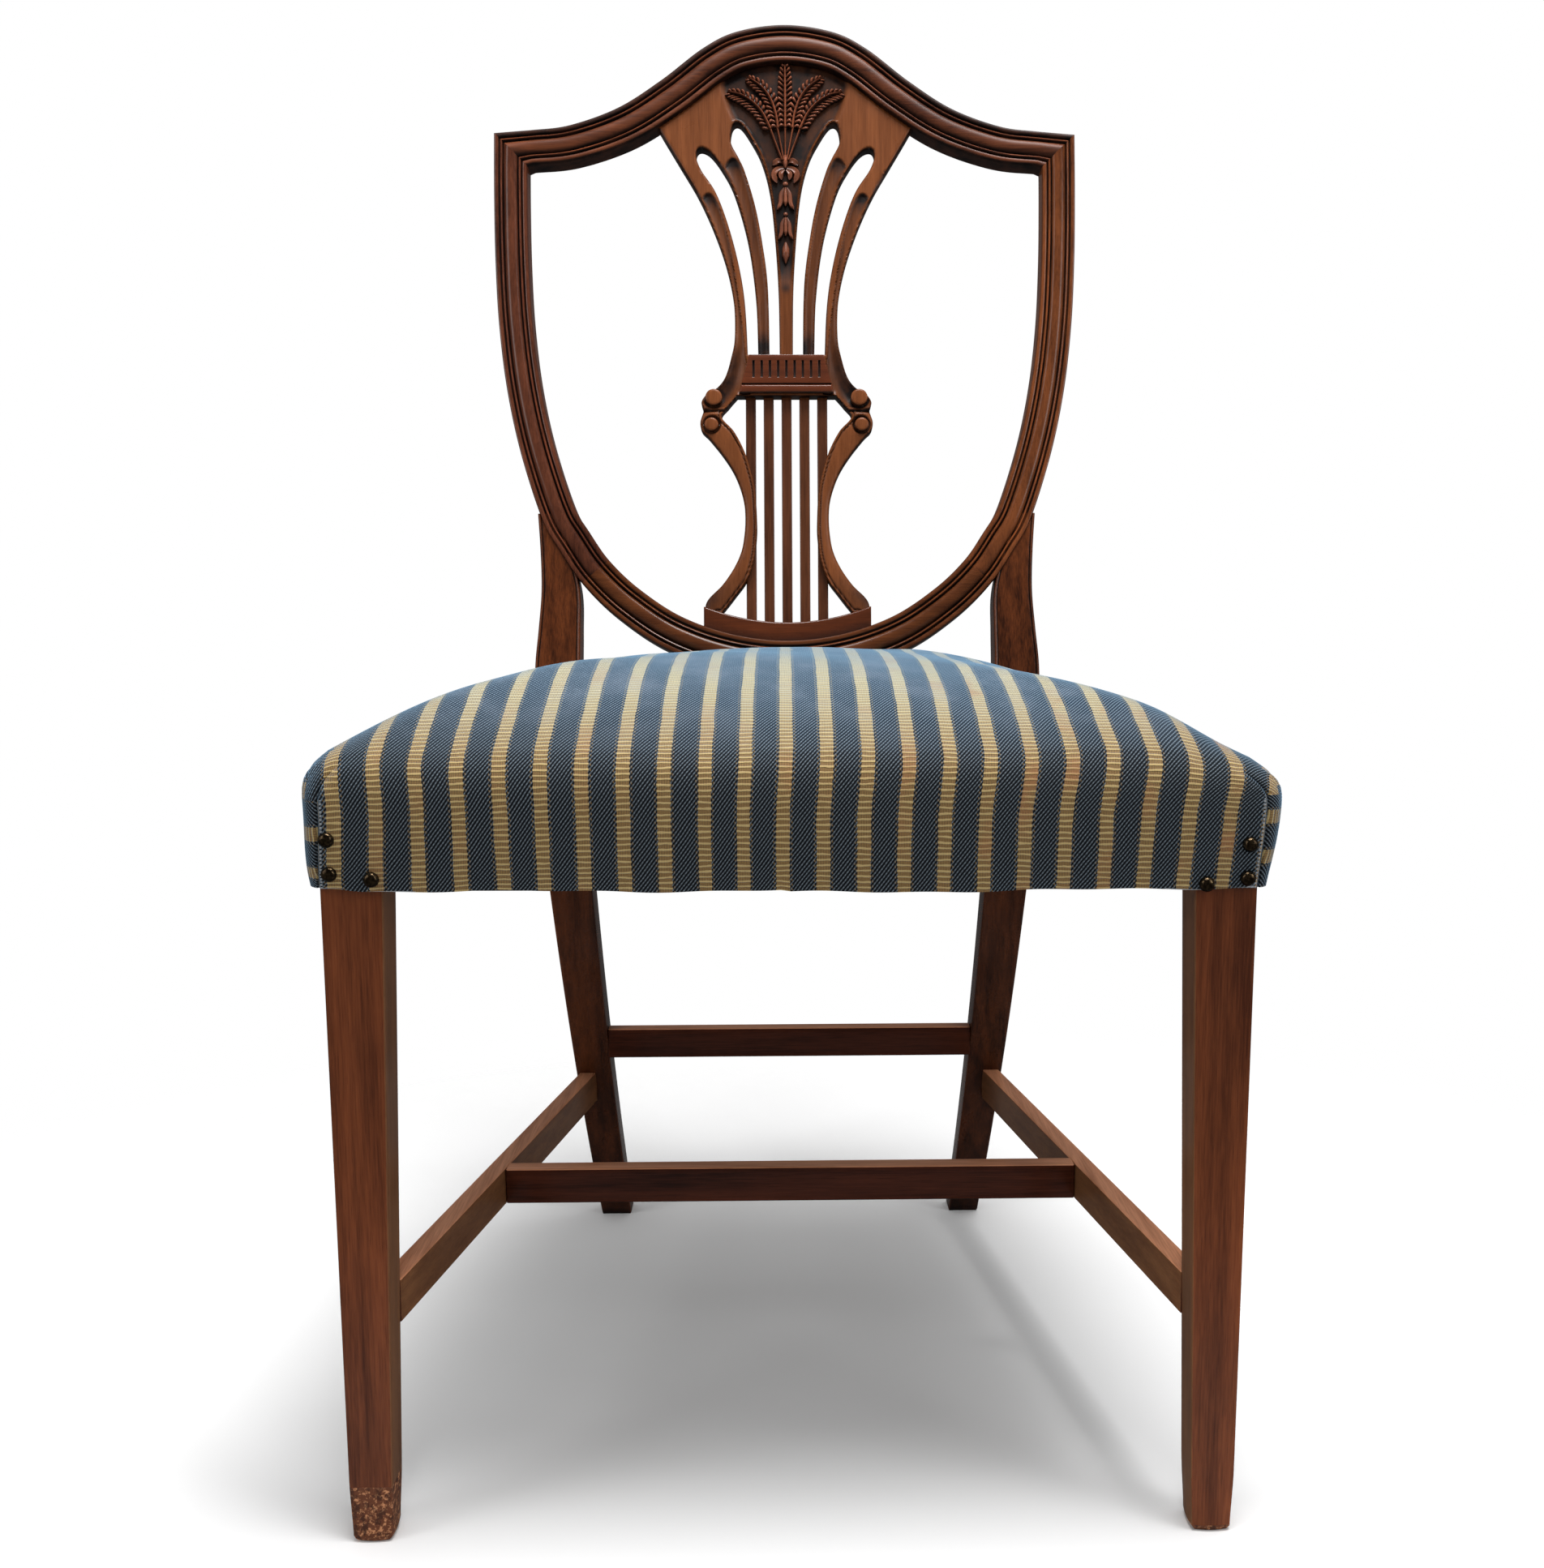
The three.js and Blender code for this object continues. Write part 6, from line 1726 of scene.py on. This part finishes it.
# A painted sheen: paler and bluer where the crown turns away, and the top is rubbed in patches.
turned = tree.math("POWER", tree.add("LayerWeight", Blend=0.5).outputs["Facing"], 9.0)
woven = tree.blend(tree.times(turned, 0.5), woven, colour(112, 158, 190))
worn = tree.ramp(tree.noise(uv, 26, 4, 0.6), 0.42, 0.7)
woven = tree.blend(tree.times(worn, tree.times(top_lit_fade, 0.2)), woven, colour(150, 160, 176))
# Pale stitches show along the folds, and bare threads where the hem is frayed.
stitches = tree.times(tree.ramp(tree.wave(y, STRIPE["stitch"]), -0.5, 0.4), tree.ramp(frayed, 0.7, 0.9))
woven = tree.blend(tree.times(stitches, 0.75), woven, colour(176, 180, 184))
ribs = tree.times(tree.plus(tree.minus(bars, tree.times(ticks, 0.4)), 0.6), cream)
height = tree.plus(ribs, tree.times(dots, tree.minus(1.0, cream)))
tree.look(Base_Color=woven, Roughness=tree.minus(0.95, tree.times(cream, 0.25)),
          Normal=tree.bump(height, 0.8, 0.0006), Sheen_Weight=0.6, Sheen_Roughness=0.35,
          Sheen_Tint=colour(160, 204, 240), Specular_IOR_Level=0.2)

# %% Faded, top-lit and frayed places of the cover
only(cover)
bpy.ops.object.shade_smooth()
up = vertex_values(cover.data, "normal")[:, 2]
high = vertex_values(cover.data, "co")[:, 2] / MM
# Faces that look up, high on the seat, are marked for fading and painted top light.
mark(cover.data, "faded", smooth((up - 0.2) / 0.85) * smooth((high - 440) / 48))
at_fold = (np.abs(part_shares - FOLD) < 0.001) & (parts == "front")
walls = on_wall & (levels > HEM) & (levels < FOLD_TOP)
at_hem = on_wall & (levels < HEM + 0.7)
near_leg = (np.abs(points[0, :, 0]) > 196) & (points[0, :, 1] < 45)
frayed = np.maximum(np.outer(walls, at_fold), np.outer(at_hem, near_leg))
mark(cover.data, "frayed", np.append(frayed.ravel(), 0))
modified(cover, "SOLIDIFY", thickness=1.2 * MM, offset=-1)
finished(cover, "striped_cloth", "striped_cover", ["seat_cover"], wear=False, angle=60)

# %% [markdown]
# ## What is under the cover
# The padding is built up as an upholsterer does it: webbing laced over and under on top of the rails, hessian
# over the webbing, a mound of curled hair on that, and the striped cover last. A thin black cloth closes the
# frame from below. None of it shows from the front, but it is all there when the chair is turned over.

# %% Stuffing
COVER_GAP = 3.5
WEB_LOW, WEB_HIGH = 436.9, 438.4
HESSIAN_LOW = 439.4
STUFFING_LOW = 440.6


def placed_skin(name, rings):
    return skinned(name, [placed(ring) for ring in rings])


def soft_piece(piece, finish, slot_name, node, **settings):
    finished(piece, finish, slot_name, [node], wear=False, **settings)


hair_rings = []
for out, level, share, corner in rows[under_rows::2]:
    down = COVER_GAP * (1.0 if share < 1 else roll_share(level))
    if level - down > STUFFING_LOW:
        ring = settled(drawn_in(seat_ring(out - COVER_GAP, corner, COVER_GAP), share), level, share)
        hair_rings.append(ring - np.array([0, 0, down]))
foot = hair_rings[0].copy()
foot[:, 2] = STUFFING_LOW
stuffing = placed_skin("stuffing_mound", [foot] + hair_rings)
soft_piece(stuffing, "stuffing_hair", "stuffing_hair", "seat_stuffing", angle=60)

# %% Webbing
FRONT_RAIL_Y, REAR_RAIL_Y, RAIL_THICK = 12.0, 412.5, 22.0
SIDE_RAIL_IN = 23.1
WEB_MIDDLE = (FRONT_RAIL_Y + REAR_RAIL_Y) / 2
ALONG = [(i - 1.5) * 2 * REAR_SEAT_HALF * 0.221 for i in range(4)]
ACROSS = [(j - 1) * (REAR_RAIL_Y - FRONT_RAIL_Y) * 0.22 for j in range(3)]
WEB = {"flat": 0.05, "half": 24.8, "thin_from": 23.0, "thick": 0.55, "thin": 0.42, "steps": 90,
       "crossing": 25 + 12, "slope": 12}


def lay_cloth(piece, across, along):
    """The cloth's own measure on every face: which drawing axes run across it and along it."""
    layer = piece.data.uv_layers.new(name="cloth")
    for loop in piece.data.loops:
        place = piece.data.vertices[loop.vertex_index].co
        layer.data[loop.index].uv = (place[across], place[along])


def strap_rings(length, crossings):
    """Rings along a strap that rises where it crosses over another: across, along and up."""
    for t in np.linspace(-length / 2, length / 2, WEB["steps"]):
        level = WEB_LOW
        for at in crossings:
            level += (WEB_HIGH - WEB_LOW) * float(smooth((WEB["crossing"] - abs(t - at)) / WEB["slope"]))
        yield np.array([
            (-side * w, t, level + side * (WEB["thick"] if abs(w) < WEB["thin_from"] else WEB["thin"]))
            for side in (-1, 1) for w in np.linspace(-WEB["half"], WEB["half"], 7)
        ])


def strap(name, rings, across, along):
    web = placed_skin("webbing_strap_" + name, rings)
    lay_cloth(web, across, along)
    soft_piece(web, "webbing_jute", "webbing_jute", "webbing_" + name)
    return web


for i, x in enumerate(ALONG):
    length = REAR_RAIL_Y - FRONT_RAIL_Y + RAIL_THICK / 2
    under_it = [at for j, at in enumerate(ACROSS) if (i + j) % 2 == 0]
    rings = [ring + (x, WEB_MIDDLE, 0) for ring in strap_rings(length, under_it)]
    strap("along_" + str(i + 1), rings, 0, 1)
for j, y in enumerate(ACROSS):
    length = 2 * (float(seat_side(WEB_MIDDLE + y)) - SIDE_RAIL_IN + RAIL_THICK / 2)
    under_it = [at for i, at in enumerate(ALONG) if (i + j) % 2 != 0]
    rings = [ring[:, (1, 0, 2)] * (1, -1, 1) + (0, WEB_MIDDLE + y, 0)
             for ring in strap_rings(length, under_it)]
    strap("across_" + str(j + 1), rings, 1, 0)

# %% Hessian and bottom cloth
HESSIAN = {"inset": 6.0, "low": HESSIAN_LOW, "thick": 0.7, "wave": 0.1}
BOTTOM = {"inset": 3.0, "low": 375.0, "thick": 0.5, "wave": 0.0}
layer_shares = (1.0, 0.93, 0.85, 0.75, 0.62, 0.48, 0.32, 0.15)


def flat_layer(name, size):
    """A thin cloth in the seat's plan, drawn from the middle of its underside to the middle of its top."""
    outer = seat_ring(-size["inset"], CORNER_SHARP, size["inset"])
    rings = []
    for level, order in ((size["low"], layer_shares[::-1]), (size["low"] + size["thick"], layer_shares)):
        for share in order:
            x, y = drawn_in(outer, share).T
            ripple = size["wave"] * np.sin(x * 0.045) * np.cos(y * 0.05)
            rings.append(np.stack([x, y, level + ripple * (1 - share)], axis=1))
    return placed_skin(name, rings)


hessian = flat_layer("hessian_layer", HESSIAN)
lay_cloth(hessian, 0, 1)
soft_piece(hessian, "hessian_jute", "hessian", "hessian")

bottom = flat_layer("bottom_cloth_layer", BOTTOM)
for side in (-1, 1):
    xs = sorted((side * (FRONT_HALF - FRONT_HEAD[0] - LEG_GAP), side * (FRONT_HALF + 9)))
    cutter = bar("leg_space", (xs[0], -12, BOTTOM["low"] - 5),
                 (xs[1], FRONT_HEAD[1] + 0.8, BOTTOM["low"] + 5))
    modified(bottom, "BOOLEAN", object=cutter, operation="DIFFERENCE")
    only(cutter)
    bpy.ops.object.delete()
lay_cloth(bottom, 0, 1)
soft_piece(bottom, "black_cloth", "black_bottom_cloth", "bottom_cloth")

# %% [markdown]
# ## Upholstery nails
# Each nail starts as a ball. Its lower half is pressed flat into the underside of the head, the middle of
# that face is drawn out into the shank, and the dome is hammered a little uneven, each in its own way.

# %% Nails
NAIL = {"radius": 4.3, "height": 3.3, "shank": 0.9, "length": 14.0, "sink": -0.4, "rim": 0.3,
        "rim_drop": 0.35, "rim_span": (3.2, 1.0), "dent": 0.05, "neck": 1.9, "hollow": 0.4,
        "shank_share": 0.45, "tip_share": 0.24}
# Across, level, and how far the cover stands out there.
NAIL_PLACES = [(243, 404.0, 7.1), (243, 385.5, 4.98), (221, 382.5, 4.545)]
RIGHT_LOWER = 5.0


def nail_at(name, across, face, level):
    piece = added(bpy.ops.mesh.primitive_uv_sphere_add, name, segments=28, ring_count=14,
                  radius=NAIL["radius"] * MM)
    for vertex in piece.data.vertices:
        x, y, z = (c / MM for c in vertex.co)
        flat = math.hypot(x, y)
        dent = NAIL["dent"] * math.sin(x * 2.3 + across) * math.cos(y * 1.9 + level)
        if z >= -0.01:
            dome = z / NAIL["radius"] * (NAIL["height"] - NAIL["rim"]) + dent
            z = max(dome, 0.0) + NAIL["rim"] - NAIL["rim_drop"] * float(over(flat, NAIL["rim_span"]))
        else:
            z = 0.0
            if flat < NAIL["radius"] * NAIL["shank_share"]:
                x, y = x * NAIL["shank"] / NAIL["neck"], y * NAIL["shank"] / NAIL["neck"]
                z = -NAIL["length"] if flat < NAIL["radius"] * NAIL["tip_share"] else -NAIL["hollow"]
        vertex.co = (x * MM, y * MM, z * MM)
    standing = Matrix.Rotation(math.pi / 2, 4, "X")
    piece.matrix_world = Matrix.Translation(placed((across, face, level))[0]) @ standing
    return piece


for name, side in SIDES:
    for i, (across, level, out) in enumerate(NAIL_PLACES, 1):
        face = NAIL["sink"] - out - FRONT_BOW * (1 - (across / FRONT_HALF) ** 2)
        lower = RIGHT_LOWER if side > 0 else 0
        end = name + "_" + str(i)
        piece = nail_at("nail_dome_" + end, side * across, face, level - lower)
        finished(piece, "nail_brass", "nail_brass", ["nail_" + end], angle=50)

# %% [markdown]
# ## Floor, light and camera
# A pale floor takes the shadow, large soft lamps light the chair evenly, and the camera stands where the
# photographer stood: a little left of the middle, above the seat and close in.

# %% Floor and light
FLOOR_FADE = (0.45, 0.95)
SKY = {"all": 0.4, "glossy": 0.1}
tree = new_finish("floor_paint")
mirrored = tree.add("LightPath").outputs["Is Glossy Ray"]
away = tree.add("VectorMath", {"operation": "LENGTH"}, i0=tree.place((1.0, 1.15, 0))).outputs["Value"]
tree.look(Base_Color=tree.blend(mirrored, (0.95, 0.95, 0.95, 1), (0.2, 0.2, 0.2, 1)), Roughness=0.9,
          Specular_IOR_Level=0.1, Alpha=tree.ramp(away, *FLOOR_FADE[::-1]))
floor = added(bpy.ops.mesh.primitive_plane_add, "floor", size=4, location=(0, 0, 0))
floor.data.materials.append(FINISHES["floor_paint"])

world = bpy.data.worlds.new("studio")
bpy.context.scene.world = world
world.use_nodes = True
tree = Tree(world.node_tree)
sky = world.node_tree.nodes["Background"]
rays = tree.add("LightPath").outputs
seen = tree.math("MAXIMUM", rays["Is Camera Ray"], rays["Is Transmission Ray"])
strength = tree.plus(SKY["all"], tree.times(rays["Is Glossy Ray"], SKY["glossy"] - SKY["all"]))
tree.give(sky.inputs["Color"], (1, 1, 1, 1))
tree.give(sky.inputs["Strength"], tree.math("MAXIMUM", seen, strength))


def lamp(name, place, target, size, power):
    light = bpy.data.lights.new(name, "AREA")
    light.shape = "RECTANGLE"
    light.size, light.size_y = size
    light.energy = power
    piece = bpy.data.objects.new(name, light)
    bpy.context.scene.collection.objects.link(piece)
    way = Vector(target) - Vector(place)
    piece.matrix_world = Matrix.Translation(Vector(place)) @ way.to_track_quat("-Z", "Y").to_matrix().to_4x4()


lamp("top_light", (0.22, -0.35, 2.5), (0, 0.02, 0.4), (1.1, 0.9), 62)
lamp("left_light", (-2.2, -1.4, 1.7), (0, 0, 0.6), (1.0, 1.4), 14)
lamp("right_light", (2.2, -1.5, 1.5), (0, 0, 0.5), (0.9, 1.4), 14)

# %% Camera
PICTURE = {"lens": 1866.3, "long": 1934.0, "wide": 1904.0, "across": 1000.1, "down": 1002.9}
VIEWER = {"place": (-3.5, -793.1, 529.1), "turn": -0.0179, "down": 0.1418, "roll": -0.0025}
camera = bpy.data.cameras.new("camera")
camera.sensor_width = 36
camera.lens = PICTURE["lens"] / PICTURE["long"] * camera.sensor_width
camera.shift_x = (PICTURE["wide"] / 2 - PICTURE["across"]) / PICTURE["long"]
camera.shift_y = (PICTURE["down"] - PICTURE["long"] / 2) / PICTURE["long"]
viewer = bpy.data.objects.new("camera", camera)
bpy.context.scene.collection.objects.link(viewer)
viewer.matrix_world = (
    Matrix.Translation(placed(VIEWER["place"])[0])
    @ Matrix.Rotation(VIEWER["turn"], 4, "Z")
    @ Matrix.Rotation(math.pi / 2 - VIEWER["down"], 4, "X")
    @ Matrix.Rotation(VIEWER["roll"], 4, "Z")
)
bpy.context.scene.camera = viewer
bpy.context.scene.view_settings.view_transform = "Standard"
